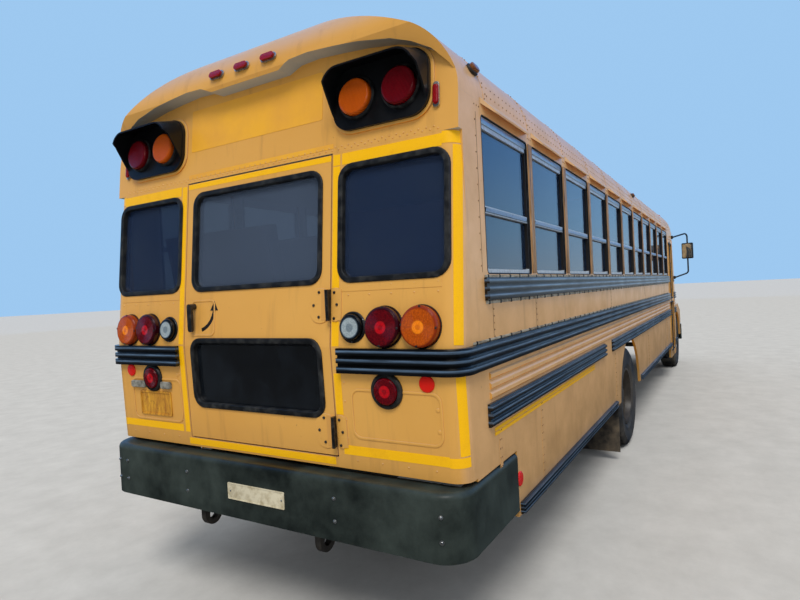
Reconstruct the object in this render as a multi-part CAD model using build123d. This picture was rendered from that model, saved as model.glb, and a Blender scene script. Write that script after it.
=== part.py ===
from build123d import *
from math import atan2, cos, hypot, pi, sin
import os

# Conventional school bus, in millimetres. +X runs forward, +Y to the driver's side, +Z up.
# Stations are measured forward from the rear wall at its lamp rail; save() moves the bus so that
# its origin lies on the ground, midway between the bumpers.

# Body shell
BODY_WIDTH = 2438
CROWN = 3215
ROOF_RISE = 560
CORNER_RADIUS = 350
WALL = 50
ROOF_SHELL = 45
REAR_POST = 305
BAY = 772
BAYS = 11
DOOR_BAY = 850
COWL_DEPTH = 250
PILLAR = 90
WINDOW_SILL = 1845
WALL_FOOT = 1131
SKIRT_FOOT = 580
SKIRT_SHEET = 25
FLOOR_TOP = 1180
FLOOR_SHEET = 35
SILL_HEIGHT = 75
SILL_WIDTH = 60

# Rear wall: it leans forward above the lamp rail and tucks in a little below it
LAMP_RAIL_TOP = 1530
REAR_FOOT = 940
UPPER_LEAN = 0.098
LOWER_LEAN = 0.042
REAR_CORNER = 80
REAR_RETURN = 130
CAP_DEPTH = 420
CAP_EDGE = 80

# Running gear
REAR_OVERHANG = 4350
TYRE_RADIUS = 525
TYRE_WIDTH = 280
RIM_RADIUS = 286
DUAL_SPACING = 325
REAR_TRACK_HALF = 1050
FRONT_TRACK_HALF = 1030
KINGPIN_HALF = 880
ARCH_ROOM = 120
FENDER_ROOM = 75
SPINDLE_RADIUS = 45
KINGPIN_RADIUS = 22
RUNNING_GAP = 0.3

# Chassis frame
RAIL_OUTER = 432
RAIL_FLANGE = 80
RAIL_WEB = 10
RAIL_OVER_AXLE = 392
RAIL_HEIGHT = 254

# Bumpers
REAR_BUMPER_REACH = 65
REAR_BUMPER_TOP = 918
REAR_BUMPER_FOOT = 617
REAR_BUMPER_WRAP = 629
BUMPER_SHEET = 12
FRONT_BUMPER_REACH = 1040
FRONT_BUMPER_DEPTH = 150
FRONT_BUMPER_TOP = 800
FRONT_BUMPER_FOOT = 480

# Gaps round what moves
DOOR_GAP = 8
MEETING_GAP = 12
SEAT = 0.3

HALF = BODY_WIDTH / 2
EAVE = CROWN - ROOF_RISE
CROWN_RADIUS = (HALF**2 - 2 * HALF * CORNER_RADIUS + ROOF_RISE**2) / (2 * (ROOF_RISE - CORNER_RADIUS))
WINDOW_TOP = EAVE - 55
CAP_SEAM = EAVE - 176
ARCH_RADIUS = TYRE_RADIUS + ARCH_ROOM
FENDER_ARCH = TYRE_RADIUS + FENDER_ROOM
RAIL_TOP = TYRE_RADIUS + RAIL_OVER_AXLE
FIRST_DOOR_STATION = REAR_POST + BAYS * BAY
BODY_LENGTH = FIRST_DOOR_STATION + DOOR_BAY
COWL = BODY_LENGTH + COWL_DEPTH
REAR_AXLE = REAR_OVERHANG
FRONT_AXLE = COWL + FENDER_ARCH + 3
FRONT_FACE = FRONT_AXLE + FRONT_BUMPER_REACH
MIDDLE = (FRONT_FACE - REAR_BUMPER_REACH) / 2
FLOOR_BOTTOM = FLOOR_TOP - FLOOR_SHEET
SILL_FOOT = FLOOR_BOTTOM - SILL_HEIGHT
RAIL_FOOT = RAIL_TOP - RAIL_HEIGHT

os.makedirs("parts", exist_ok=True)


def save(name, *pieces):
    """Write one sub-part, moved from the rear wall's frame to the bus's own origin."""
    solids = []
    for piece in pieces:
        solids.extend((Pos(-MIDDLE, 0, 0) * piece).solids())
    shape = solids[0] if len(solids) == 1 else Compound(children=solids)
    export_step(shape, f"parts/{name}.step")


def block(x0, x1, y0, y1, z0, z1):
    """A box between its lowest and highest corners."""
    return Pos((x0 + x1) / 2, (y0 + y1) / 2, (z0 + z1) / 2) * Box(x1 - x0, y1 - y0, z1 - z0)


def polygon(*points):
    return make_face(Polyline(*points, close=True))


def along_x(face, x0, x1):
    """Carry a face drawn in (y, z) from one station to another."""
    return Pos(x0, 0, 0) * extrude(Plane.YZ * face, x1 - x0)


def along_y(face, y0, y1):
    """Carry a face drawn in (x, z) across the bus."""
    return Pos(0, y1, 0) * extrude(Plane.XZ * face, y1 - y0)


def along_z(face, z0, z1):
    """Carry a face drawn in (x, y) upwards."""
    return Pos(0, 0, z0) * extrude(face, z1 - z0)


def rod_x(x0, x1, y, z, radius):
    return along_x(Pos(y, z) * Circle(radius), x0, x1)


def rod_y(x, y0, y1, z, radius):
    return along_y(Pos(x, z) * Circle(radius), y0, y1)


def rod_z(x, y, z0, z1, radius):
    return along_z(Pos(x, y) * Circle(radius), z0, z1)


def both_sides(shape):
    """The shape and its mirror image across the middle of the bus."""
    return [shape, mirror(shape, Plane.XZ)]


def rear_x(z):
    """Station of the rear wall's outer face at a height."""
    lean = UPPER_LEAN if z > LAMP_RAIL_TOP else -LOWER_LEAN
    return lean * (z - LAMP_RAIL_TOP)


def body_section(inset, foot):
    """Cross-section of the body above a height: upright sides, eave arcs and the crown arc."""
    side = HALF - inset
    eave_y = HALF - CORNER_RADIUS
    eave_arc = CORNER_RADIUS - inset
    crown_z = CROWN - CROWN_RADIUS
    turn = atan2(EAVE - crown_z, eave_y)
    crown_arc = CROWN_RADIUS - inset
    tangent = (crown_arc * cos(turn), crown_z + crown_arc * sin(turn))
    knee = (eave_y + eave_arc * cos(turn / 2), EAVE + eave_arc * sin(turn / 2))
    right = [(-side, EAVE), (-knee[0], knee[1]), (-tangent[0], tangent[1])]
    edges = [
        ThreePointArc((side, EAVE), knee, tangent),
        ThreePointArc(tangent, (0, CROWN - inset), right[2]),
        ThreePointArc(right[2], right[1], right[0]),
        Line((-side, foot), (side, foot)),
    ]
    if foot < EAVE:
        edges += [Line((side, foot), (side, EAVE)), Line(right[0], (-side, foot))]
    return make_face(Curve() + edges)


def eave_arch(inset):
    """The body's cross-section above the eave alone."""
    return body_section(inset, EAVE)


# Roof and its two moulded end caps
ROOF_START = CAP_DEPTH
ROOF_END = BODY_LENGTH - 380
HATCHES = {"rear": 2621, "front": 7253}
HATCH_HALF = 290
HATCH_RIM = 30
HATCH_RISE = 38
HATCH_PIVOT = HATCH_HALF + HATCH_RIM + 2
HATCH_PIVOT_Z = CROWN + 5
HATCH_BARREL = 9
HATCH_BARREL_SPAN = (150, 230)


def roof():
    """Arched shell with two hatch openings and a pad under each hatch's hinge barrels."""
    shell = along_x(eave_arch(0) - eave_arch(ROOF_SHELL), ROOF_START + SEAT, ROOF_END - SEAT)
    pad_top = HATCH_PIVOT_Z - HATCH_BARREL - SEAT
    for station in HATCHES.values():
        ends = (station - HATCH_HALF, station + HATCH_HALF)
        shell -= block(*ends, -HATCH_HALF, HATCH_HALF, CROWN - 200, CROWN + 50)
        hinge = station + HATCH_PIVOT
        shell += both_sides(block(hinge, hinge + 30, *HATCH_BARREL_SPAN, pad_top - 20, pad_top))
    return shell


def hatch(station):
    """A low lid with a turned-down rim that covers the roof opening."""
    half = HATCH_HALF + HATCH_RIM
    foot = CROWN - 40
    top = CROWN + HATCH_RISE
    plan = Pos(station, 0) * RectangleRounded(2 * half, 2 * half, 60)
    lid = along_z(plan, foot, top)
    lid -= along_z(Pos(station, 0) * RectangleRounded(2 * half - 40, 2 * half - 40, 45), foot - 1, top - 22)
    lid -= along_x(eave_arch(-SEAT), station - half - 5, station + half + 5)
    lid = fillet(lid.faces().sort_by(Axis.Z)[-1].edges(), 10)
    return lid + both_sides(rod_y(station + HATCH_PIVOT, *HATCH_BARREL_SPAN, HATCH_PIVOT_Z, HATCH_BARREL))


BROW_STATION = 42
BROW_START = CAP_SEAM + 265
BROW_TURN = CROWN - 250
BROW_END = 292
BROW_DROP = 11
BROW_EDGE = [
    # lower edge of the brow: distance from the middle and drop below the crown, lamp shelf first
    (0, 270), (250, 270), (330, 237), (450, 231), (600, 243), (750, 258), (920, 287),
    (1020, 322), (1111, 370), (1180, 440), (HALF + 10, 515),
]


def rear_block(inset):
    """The rear cap without its brow, drawn in by an inset: a leaning face with a round top edge."""
    back = [(rear_x(CAP_SEAM) + inset, CAP_SEAM - 0.01), (rear_x(CROWN) + inset, CROWN + 1)]
    reach = CAP_DEPTH + 1
    lean = along_y(polygon(back[0], back[1], (reach, CROWN + 1), (reach, CAP_SEAM - 0.01)), -HALF, HALF)
    solid = along_x(body_section(inset, CAP_SEAM), 0, reach) & lean
    rim = [e for e in solid.edges()
           if e.bounding_box().max.X < rear_x(CROWN) + inset + 2 and e.center().Z > CAP_SEAM + 20]
    return fillet(rim, CAP_EDGE)


def brow_block():
    """The rear cap with its brow: the face leans out above the lamps, then rounds over into the roof."""
    near = 1 - cos(pi / 4)
    run, rise = BROW_END - BROW_STATION, CROWN - BROW_DROP - BROW_TURN
    middle = (BROW_STATION + near * run, CROWN - BROW_DROP - near * rise)
    profile = make_face(Curve() + [
        Line((rear_x(CAP_SEAM), CAP_SEAM), (rear_x(BROW_START), BROW_START)),
        Line((rear_x(BROW_START), BROW_START), (BROW_STATION, BROW_TURN)),
        ThreePointArc((BROW_STATION, BROW_TURN), middle, (BROW_END, CROWN - BROW_DROP)),
        Line((BROW_END, CROWN - BROW_DROP), (CAP_DEPTH, CROWN + 7)),
        Line((CAP_DEPTH, CROWN + 7), (CAP_DEPTH, CAP_SEAM)),
        Line((CAP_DEPTH, CAP_SEAM), (rear_x(CAP_SEAM), CAP_SEAM)),
    ])
    return along_x(body_section(0, CAP_SEAM), 0, CAP_DEPTH) & along_y(profile, -HALF - 1, HALF + 1)


def rear_roof_cap():
    """Moulded end cap: hollow, with the face set back under a brow that follows the roof."""
    edge = [(y, CROWN - drop) for y, drop in BROW_EDGE]
    corners = [(HALF + 10, CAP_SEAM - 50), (-HALF - 10, CAP_SEAM - 50)]
    under = [(-y, z) for y, z in edge[::-1]] + edge[1:] + corners
    recess = along_x(polygon(*under), -100, 300)
    low = CAP_SEAM - 60
    face = polygon((-100, low), (rear_x(low), low), (rear_x(CROWN), CROWN), (-100, CROWN))
    solid = brow_block() - (recess & along_y(face, -HALF - 20, HALF + 20))
    foot = block(-10, CAP_DEPTH + 10, -HALF - 1, HALF + 1, CAP_SEAM - 1, CAP_SEAM + SEAT)
    sides = block(REAR_RETURN, CAP_DEPTH + 10, -HALF - 1, HALF + 1, CAP_SEAM - 1, EAVE + SEAT)
    return solid - rear_block(WALL) - foot - sides


FRONT_LEAN = 0.27
FRONT_CAP_REACH = 60
FRONT_CAP_EDGE = 200


def front_x(z):
    """Station of the windscreen's outer face at a height."""
    return COWL - FRONT_LEAN * (z - WINDOW_SILL)


def front_cap(inset):
    """The front cap as a full block above the windscreen, drawn in by an inset."""
    nose = front_x(EAVE) + FRONT_CAP_REACH - inset
    start = ROOF_END if inset == 0 else ROOF_END - 1
    solid = along_x(eave_arch(inset), start, nose)
    brow = [e for e in solid.edges() if e.bounding_box().min.X > nose - 1 and e.center().Z > EAVE + 20]
    return fillet(brow, FRONT_CAP_EDGE - inset)


def front_roof_cap():
    shell = front_cap(0) - front_cap(WALL)
    return shell - block(ROOF_END - 10, COWL + 300, -HALF - 1, HALF + 1, EAVE - 1, EAVE + SEAT)


# Side walls with their windows, and the skirts below them
DOOR_REAR = FIRST_DOOR_STATION + PILLAR / 2
DOOR_FRONT = BODY_LENGTH - PILLAR / 2
DOOR_TOP = EAVE - 155
DOOR_FOOT = 370
STOP_ARM_STATION = 8060
STOP_ARM_PIVOT = STOP_ARM_STATION + 510
STOP_ARM_Z = 1622


def window_spans(side):
    """Start and end station of each window opening on one side."""
    spans = []
    for bay in range(BAYS):
        start = REAR_POST + bay * BAY + PILLAR / 2
        spans.append((start, start + BAY - PILLAR))
    if side > 0:
        spans.append((FIRST_DOOR_STATION + PILLAR / 2, BODY_LENGTH - PILLAR / 2))
    return spans


def wall(side):
    """One side wall: one thickness from the floor rail to the eave, leaning edge at the windscreen."""
    outline = polygon(
        (REAR_RETURN + SEAT, WALL_FOOT),
        (REAR_RETURN + SEAT, EAVE),
        (front_x(EAVE), EAVE),
        (COWL, WINDOW_SILL),
        (COWL, WALL_FOOT),
    )
    panel = along_y(outline, HALF - WALL, HALF)
    for start, end in window_spans(side):
        opening = Pos((start + end) / 2, (WINDOW_SILL + WINDOW_TOP) / 2) * RectangleRounded(
            end - start, WINDOW_TOP - WINDOW_SILL, 25)
        panel -= along_y(opening, HALF - WALL - 5, HALF + 5)
    if side < 0:
        panel -= block(DOOR_REAR, DOOR_FRONT, HALF - WALL - 5, HALF + 5, WALL_FOOT - 5, DOOR_TOP)
        panel = mirror(panel, Plane.XZ)
    return panel


def skirt(side):
    """Sheet below the floor rail with the wheel arch cut out and the bumper's corner cleared."""
    step = REAR_BUMPER_WRAP + DOOR_GAP
    ledge = REAR_BUMPER_TOP + DOOR_GAP
    outline = polygon(
        (REAR_RETURN + SEAT, WALL_FOOT - SEAT),
        (COWL, WALL_FOOT - SEAT),
        (COWL, SKIRT_FOOT),
        (step, SKIRT_FOOT),
        (step, ledge),
        (REAR_RETURN + SEAT, ledge),
    )
    sheet = along_y(outline, HALF - SKIRT_SHEET, HALF)
    arch = Pos(REAR_AXLE, TYRE_RADIUS) * Circle(ARCH_RADIUS)
    arch += Pos(REAR_AXLE, 0) * Rectangle(2 * ARCH_RADIUS, 2 * TYRE_RADIUS)
    sheet -= along_y(arch, HALF - SKIRT_SHEET - 5, HALF + 5)
    if side < 0:
        sheet -= block(DOOR_REAR, DOOR_FRONT, HALF - WALL, HALF + 5, SKIRT_FOOT - 5, WALL_FOOT + 5)
        sheet = mirror(sheet, Plane.XZ)
    return sheet


# Rear wall with the emergency door's opening and two fixed windows
DOOR_HALF = 538
HINGE_OUT = 14
HINGE_HEIGHTS = [1118, 1733]
HINGE_LENGTH = 150
HINGE_RADIUS = 9
HINGE_LEAF = 5
REAR_WINDOW_INNER = DOOR_HALF + 47
REAR_WINDOW_OUTER = HALF - 50
REAR_WINDOW_Y = (REAR_WINDOW_INNER + REAR_WINDOW_OUTER) / 2
REAR_WINDOW_WIDTH = REAR_WINDOW_OUTER - REAR_WINDOW_INNER
REAR_WINDOW_FOOT = WINDOW_SILL - 3
REAR_WINDOW_TOP = EAVE - 251
REAR_WINDOW_CORNER = 70
REAR_DOOR_FOOT = 990
DOOR_WINDOW_WIDTH = 940
LOWER_GLASS_FOOT = 1184
LOWER_GLASS_TOP = 1563
RUBBER = 14


def rear_slab(start, end, y0, y1, z0, z1):
    """A slab that follows the rear wall's lean, between two depths behind its outer face."""
    z_bend = LAMP_RAIL_TOP
    outline = polygon(
        (rear_x(z0) + start, z0),
        (start, z_bend),
        (rear_x(z1) + start, z1),
        (rear_x(z1) + end, z1),
        (end, z_bend),
        (rear_x(z0) + end, z0),
    )
    return along_y(outline, y0, y1)


def rear_pane_cut(y, width, foot, top, grow):
    """A rounded opening through the rear wall."""
    shape = Pos(y, (foot + top) / 2) * RectangleRounded(
        width + 2 * grow, top - foot + 2 * grow, REAR_WINDOW_CORNER + grow)
    return along_x(shape, -200, 400)


def rear_wall():
    """Rear wall with a short return into each side; its upright corners are round."""
    top = CAP_SEAM
    outline = polygon(
        (rear_x(REAR_FOOT), REAR_FOOT),
        (0, LAMP_RAIL_TOP),
        (rear_x(top), top),
        (REAR_RETURN, top),
        (REAR_RETURN, REAR_FOOT),
    )
    shell = along_y(outline, -HALF, HALF)
    corners = [e for e in shell.edges() if abs(e.center().Y) > HALF - 1 and e.bounding_box().size.Z > 300
               and e.center().X < REAR_RETURN - 20]
    shell = fillet(corners, REAR_CORNER)
    shell -= rear_slab(WALL, WALL + 400, -HALF + WALL, HALF - WALL, REAR_FOOT, top)
    shell -= block(-50, 400, -DOOR_HALF, DOOR_HALF, REAR_DOOR_FOOT, top + 1)
    for y in (-REAR_WINDOW_Y, REAR_WINDOW_Y):
        shell -= rear_pane_cut(y, REAR_WINDOW_WIDTH, REAR_WINDOW_FOOT, REAR_WINDOW_TOP, -RUBBER)
    hinge_edge = -DOOR_HALF - HINGE_RADIUS - 3
    for height in HINGE_HEIGHTS:
        half = HINGE_LENGTH / 2
        shell += rear_slab(-HINGE_LEAF, 1, hinge_edge - 50, hinge_edge, height - half, height + half)
    return shell


# Emergency door: hinged on the kerb side, handle on the driver's side
DOOR_WINDOWS = [(REAR_WINDOW_FOOT, REAR_WINDOW_TOP), (LOWER_GLASS_FOOT, LOWER_GLASS_TOP)]
HINGE_X = -HINGE_OUT
HANDLE_Y = 450
HANDLE_TOP = 1768
HANDLE_LENGTH = 160
HANDLE_HALF = 17
HANDLE_BOSS = 17
HANDLE_OUT = 30
HANDLE_THICK = 16


def emergency_door():
    half = DOOR_HALF - DOOR_GAP
    door = rear_slab(0, WALL, -half, half, REAR_DOOR_FOOT + DOOR_GAP, CAP_SEAM - DOOR_GAP)
    for foot, top in DOOR_WINDOWS:
        door -= rear_pane_cut(0, DOOR_WINDOW_WIDTH, foot, top, -RUBBER)
    return door


def pane(y, width, foot, top):
    """A flat pane set in the middle of the rear wall's thickness."""
    slab = rear_slab(WALL / 2 - 4, WALL / 2 + 4, -HALF, HALF, REAR_FOOT, CAP_SEAM)
    return slab & rear_pane_cut(y, width, foot, top, -RUBBER - SEAT)


def emergency_door_hardware():
    """Hinge leaves and knuckles down the hinge edge, and the turning handle with its boss."""
    pieces = []
    edge = -DOOR_HALF + DOOR_GAP
    for height in HINGE_HEIGHTS:
        z0 = height - HINGE_LENGTH / 2
        z1 = height + HINGE_LENGTH / 2
        knuckle = rod_z(HINGE_X, -DOOR_HALF, z0, z1, HINGE_RADIUS)
        leaf = rear_slab(-HINGE_LEAF, -SEAT, edge - 2, edge + 50, z0, z1)
        reach = block(HINGE_X - 2, rear_x(z1), -DOOR_HALF, edge + 3, z0, z1)
        arm = reach - rear_slab(-SEAT, 400, -HALF, HALF, REAR_FOOT, CAP_SEAM)
        pieces.append(knuckle + leaf + arm)
    face = rear_x(HANDLE_TOP)
    boss = rod_x(face - HANDLE_OUT, face - SEAT - 3, HANDLE_Y, HANDLE_TOP - HANDLE_HALF, HANDLE_BOSS)
    slot = SlotOverall(HANDLE_LENGTH, 2 * HANDLE_HALF, rotation=90)
    bar = Pos(HANDLE_Y, HANDLE_TOP - HANDLE_LENGTH / 2) * slot
    pieces.append(boss + along_x(bar, face - HANDLE_OUT - HANDLE_THICK, face - HANDLE_OUT))
    return pieces


# Floor, its sills and the entry step well
STEP_TREADS = [370, 640, 910]
STEP_SHEET = 12
STEP_DEPTH = 240


def floor():
    """Floor sheet from wall to wall, with a notch for the steps."""
    edge = HALF - WALL - SEAT
    sheet = block(WALL + 20, COWL - 40, -edge, edge, FLOOR_BOTTOM, FLOOR_TOP)
    notch = edge - 3 * STEP_DEPTH
    return sheet - block(DOOR_REAR, DOOR_FRONT, -edge - 1, -notch, FLOOR_BOTTOM - 1, FLOOR_TOP + 1)


def floor_sills():
    """A sill across the floor at each post, and the two long pads that carry them on the chassis rails."""
    edge = HALF - WALL - SEAT
    top = FLOOR_BOTTOM - SEAT
    pad = block(400, COWL - 60, RAIL_OUTER - RAIL_FLANGE, RAIL_OUTER, RAIL_TOP + SEAT, SILL_FOOT - SEAT)
    pieces = both_sides(pad)
    half = SILL_WIDTH / 2
    for bay in range(BAYS + 1):
        station = REAR_POST + bay * BAY
        if abs(station - REAR_AXLE) > TYRE_RADIUS + 100:
            reach = edge if station < FIRST_DOOR_STATION - 100 else edge - 3 * STEP_DEPTH
            pieces.append(block(station - half, station + half, -reach, edge, SILL_FOOT, top))
    return pieces


def step_well():
    """Folded sheet of treads and risers between two side plates, open to the door."""
    edge = HALF - WALL - SEAT
    outer = HALF - SKIRT_SHEET
    points = [(-outer, STEP_TREADS[0])]
    for count, tread in enumerate(STEP_TREADS):
        riser = -edge + (count + 1) * STEP_DEPTH
        top = STEP_TREADS[count + 1] if count + 1 < len(STEP_TREADS) else FLOOR_BOTTOM
        points.append((riser, tread))
        points.append((riser, top))
    back = [(y + STEP_SHEET, z - STEP_SHEET) for y, z in points[::-1]]
    back[0] = (points[-1][0] + STEP_SHEET, points[-1][1])
    back[-1] = (points[0][0], points[0][1] - STEP_SHEET)
    start = DOOR_REAR + SEAT
    end = DOOR_FRONT - SEAT
    treads = along_x(polygon(*points, *back), start, end)
    cheek_edge = -(HALF - LEAF_THICK - 6)
    plate = polygon((cheek_edge, STEP_TREADS[0] - STEP_SHEET), (cheek_edge, FLOOR_BOTTOM),
                    (back[0][0], FLOOR_BOTTOM), (back[0][0], STEP_TREADS[-1]))
    sides = along_x(plate, start, start + STEP_SHEET)
    sides += along_x(plate, end - STEP_SHEET, end)
    return treads + sides


# Entry door: two leaves that swing out from the jambs and meet in the middle
LEAF_THICK = 40
LEAF_MIDDLE = (DOOR_REAR + DOOR_FRONT) / 2
LEAF_STILE = 45
LEAF_TOP = DOOR_TOP - DOOR_GAP
LEAF_BOTTOM = DOOR_FOOT + DOOR_GAP
LEAF_PANES = [(LEAF_BOTTOM + 120, 1360), (1430, LEAF_TOP - 70)]


def leaf_pane(start, end, low, high, grow):
    """Outline of one pane of a leaf, drawn in (x, z)."""
    width = end - start - 2 * LEAF_STILE + 2 * grow
    return Pos((start + end) / 2, (low + high) / 2) * RectangleRounded(width, high - low + 2 * grow, 30)


def leaf(start, end, hinge):
    """One door leaf: a frame round an upper and a lower pane, with a long hinge down its jamb edge."""
    panel = block(start, end, -HALF, -HALF + LEAF_THICK, LEAF_BOTTOM, LEAF_TOP)
    for low, high in LEAF_PANES:
        panel -= along_y(leaf_pane(start, end, low, high, 0), -HALF - 5, -HALF + LEAF_THICK + 5)
    return panel + rod_z(hinge, -HALF, LEAF_BOTTOM, LEAF_TOP, DOOR_GAP - SEAT)


def leaf_glass(start, end):
    depth = (-HALF + 16, -HALF + 22)
    return [along_y(leaf_pane(start, end, low, high, -SEAT), *depth) for low, high in LEAF_PANES]


# Sash frames and panes
SASH_FRAME = 24
SASH_DEPTH = 34
SASH_INSET = 8
MEETING_RAIL = (WINDOW_SILL + WINDOW_TOP) / 2 - 69
MEETING_HEIGHT = 34
SASH_HEADER = 62


def sash(start, end):
    """One split-sash window: a ring with a meeting rail at its middle."""
    width = end - start - 2 * SEAT
    height = WINDOW_TOP - WINDOW_SILL - 2 * SEAT
    centre = Pos((start + end) / 2, (WINDOW_SILL + WINDOW_TOP) / 2)
    ring = centre * RectangleRounded(width, height, 25) - centre * RectangleRounded(
        width - 2 * SASH_FRAME, height - 2 * SASH_FRAME, 12)
    rail = Pos((start + end) / 2, MEETING_RAIL) * Rectangle(width - SASH_FRAME, MEETING_HEIGHT)
    header = Pos((start + end) / 2, WINDOW_TOP - SEAT - 15 - (SASH_HEADER - 15) / 2) * Rectangle(
        width - SASH_FRAME, SASH_HEADER - 15)
    return along_y(ring + rail + header, HALF - SASH_INSET - SASH_DEPTH, HALF - SASH_INSET)


def sash_panes(start, end):
    width = end - start - 2 * SASH_FRAME - 2 * SEAT
    half_rail = MEETING_HEIGHT / 2 + SEAT
    panes = []
    for low, high, inset in (
        (WINDOW_SILL + SASH_FRAME + SEAT, MEETING_RAIL - half_rail, 24),
        (MEETING_RAIL + half_rail, WINDOW_TOP - SASH_HEADER - 2 * SEAT, 16),
    ):
        pane_face = Pos((start + end) / 2, (low + high) / 2) * RectangleRounded(width - 1, high - low - 1, 12)
        panes.append(along_y(pane_face, HALF - SASH_INSET - inset, HALF - SASH_INSET - inset + 5))
    return panes


BROW_OUT = 46
BROW_TAPER = 90


def window_brow(start, end):
    """Pressed lip that flares out over one window from the foot of the roof."""
    root = HALF + SEAT
    lip = HALF + BROW_OUT
    section = polygon((root, EAVE + 25), (lip, EAVE - 30), (lip - 3, EAVE - 38), (root, EAVE - 4))
    plan = polygon((start, root), (start + BROW_TAPER, lip), (end - BROW_TAPER, lip), (end, root))
    return along_x(section, start, end) & along_z(plan, EAVE - 100, EAVE + 100)


def windshield_opening(grow):
    """Half of the windscreen's opening, drawn in (y, z)."""
    foot = WINDOW_SILL + 30
    top = WINDOW_TOP
    inner = 25
    outer = HALF - 110
    face = Pos((inner + outer) / 2, (foot + top) / 2) * RectangleRounded(
        outer - inner + 2 * grow, top - foot + 2 * grow, 70)
    return along_x(face, COWL - 600, COWL + 200)


def front_slab(start, end, y0, y1, z0, z1):
    """A slab that follows the windscreen's lean, between two depths behind its outer face."""
    low, high = front_x(z0), front_x(z1)
    outline = polygon((low - start, z0), (high - start, z1), (high - end, z1), (low - end, z0))
    return along_y(outline, y0, y1)


def cowl():
    """Windscreen surround, the shelf under it and the bulkhead behind the engine."""
    edge = HALF - WALL - SEAT
    top = EAVE - SEAT
    surround = front_slab(0, WALL, -edge, edge, WINDOW_SILL - 60, top)
    for opening in both_sides(windshield_opening(0)):
        surround -= opening
    bulkhead = block(COWL - WALL, COWL, -edge, edge, FLOOR_TOP + SEAT, WINDOW_SILL - 44)
    return surround + bulkhead


def windshield():
    slab = front_slab(WALL / 2 - 4, WALL / 2 + 4, -HALF, HALF, WINDOW_SILL - 100, WINDOW_TOP + 100)
    return [slab & half for half in both_sides(windshield_opening(-SEAT))]


# Rub rails: black ribbed bands along each side and across the rear corners
RAIL_PROUD = 26
RIBS = 3
LAMP_BAND_FOOT = 1405
LAMP_BAND_TOP = LAMP_RAIL_TOP - 3
SIDE_BANDS = [
    # start, end, foot, top
    (305, BODY_LENGTH - 20, 1720, 1827),
    (REAR_RETURN, COWL - 10, LAMP_BAND_FOOT, LAMP_BAND_TOP),
    (276, 2981, 1131, 1239),
    (3323, COWL - 10, 1131, 1239),
    (REAR_BUMPER_WRAP + 31, 3430, 590, 650),
    (5060, COWL - 10, 590, 650),
]
REAR_BAND_INNER = DOOR_HALF + 45


def ribbed(foot, top, proud):
    """Cross-section of a pressed rail in (out, z): a low back with round ribs."""
    pitch = (top - foot) / RIBS
    face = Pos(proud / 4, (foot + top) / 2) * Rectangle(proud / 2, top - foot)
    for rib in range(RIBS):
        centre = foot + (rib + 0.5) * pitch
        face += Pos(proud / 2, centre) * Rectangle(proud, 0.55 * pitch)
    return face


def side_band(start, end, foot, top, side):
    profile = Pos(HALF + SEAT, 0) * ribbed(foot, top, RAIL_PROUD)
    spans = [(start, end)]
    if side < 0 and end > DOOR_REAR:
        spans = [(start, DOOR_REAR - DOOR_GAP), (DOOR_FRONT + DOOR_GAP, end)]
    bands = []
    for low, high in spans:
        band = along_x(profile, low, high)
        bands.append(band if side > 0 else mirror(band, Plane.XZ))
    return bands


def rear_band(side):
    """Rail across one rear corner, bent round it to meet the side rail."""
    foot, top = LAMP_BAND_FOOT + 4, LAMP_BAND_TOP
    plan_outer = Pos(REAR_RETURN / 2 - RAIL_PROUD / 2, 0) * Rectangle(
        REAR_RETURN + RAIL_PROUD, 2 * (HALF + RAIL_PROUD))
    bar = along_z(plan_outer, foot, top)
    uprights = [e for e in bar.edges() if e.center().X < 0 and e.bounding_box().size.Z > 50]
    bar = fillet(uprights, REAR_CORNER + RAIL_PROUD)
    inner = along_z(Pos(200 - SEAT, 0) * Rectangle(400, 2 * (HALF + SEAT)), foot - 1, top + 1)
    corners = [e for e in inner.edges() if e.center().X < 0 and e.bounding_box().size.Z > 50]
    bar -= fillet(corners, REAR_CORNER)
    bar -= block(-100, 400, -REAR_BAND_INNER, REAR_BAND_INNER, foot - 1, top + 1)
    bar -= block(REAR_RETURN - SEAT, 400, -1500, 1500, foot - 1, top + 1)
    pitch = (top - foot) / RIBS
    for rib in range(RIBS - 1):
        centre = foot + (rib + 1) * pitch
        groove = along_z(plan_outer, centre - 0.2 * pitch, centre + 0.2 * pitch)
        core = along_z(Pos(100 - RAIL_PROUD / 4, 0) * Rectangle(200 + RAIL_PROUD / 2, 2 * HALF + RAIL_PROUD),
                       centre - 0.3 * pitch, centre + 0.3 * pitch)
        core = fillet([e for e in core.edges() if e.center().X < 0 and e.bounding_box().size.Z > 10],
                      REAR_CORNER + RAIL_PROUD / 2)
        bar -= groove - core
    half = block(-200, 400, 0, 1500, foot - 1, top + 1)
    return bar & half if side > 0 else bar & mirror(half, Plane.XZ)


# Ridges pressed into the wall between the two lower rails
RIDGE_START = 313
RIDGE_PROUD = 9
RIDGES = [1271, 1318, 1365]


def ridges(side):
    """Three long ridges on one side wall."""
    spans = [(RIDGE_START, COWL - 20)]
    if side < 0:
        spans = [(RIDGE_START, DOOR_REAR - DOOR_GAP), (DOOR_FRONT + DOOR_GAP, COWL - 20)]
    bars = []
    for low, high in spans:
        for z in RIDGES:
            crest = HALF + RIDGE_PROUD
            profile = polygon((HALF - 1, z - 19), (crest, z - 9), (crest, z + 9), (HALF - 1, z + 19))
            bar = along_x(profile, low, high)
            bars.append(bar if side > 0 else mirror(bar, Plane.XZ))
    return bars


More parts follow.
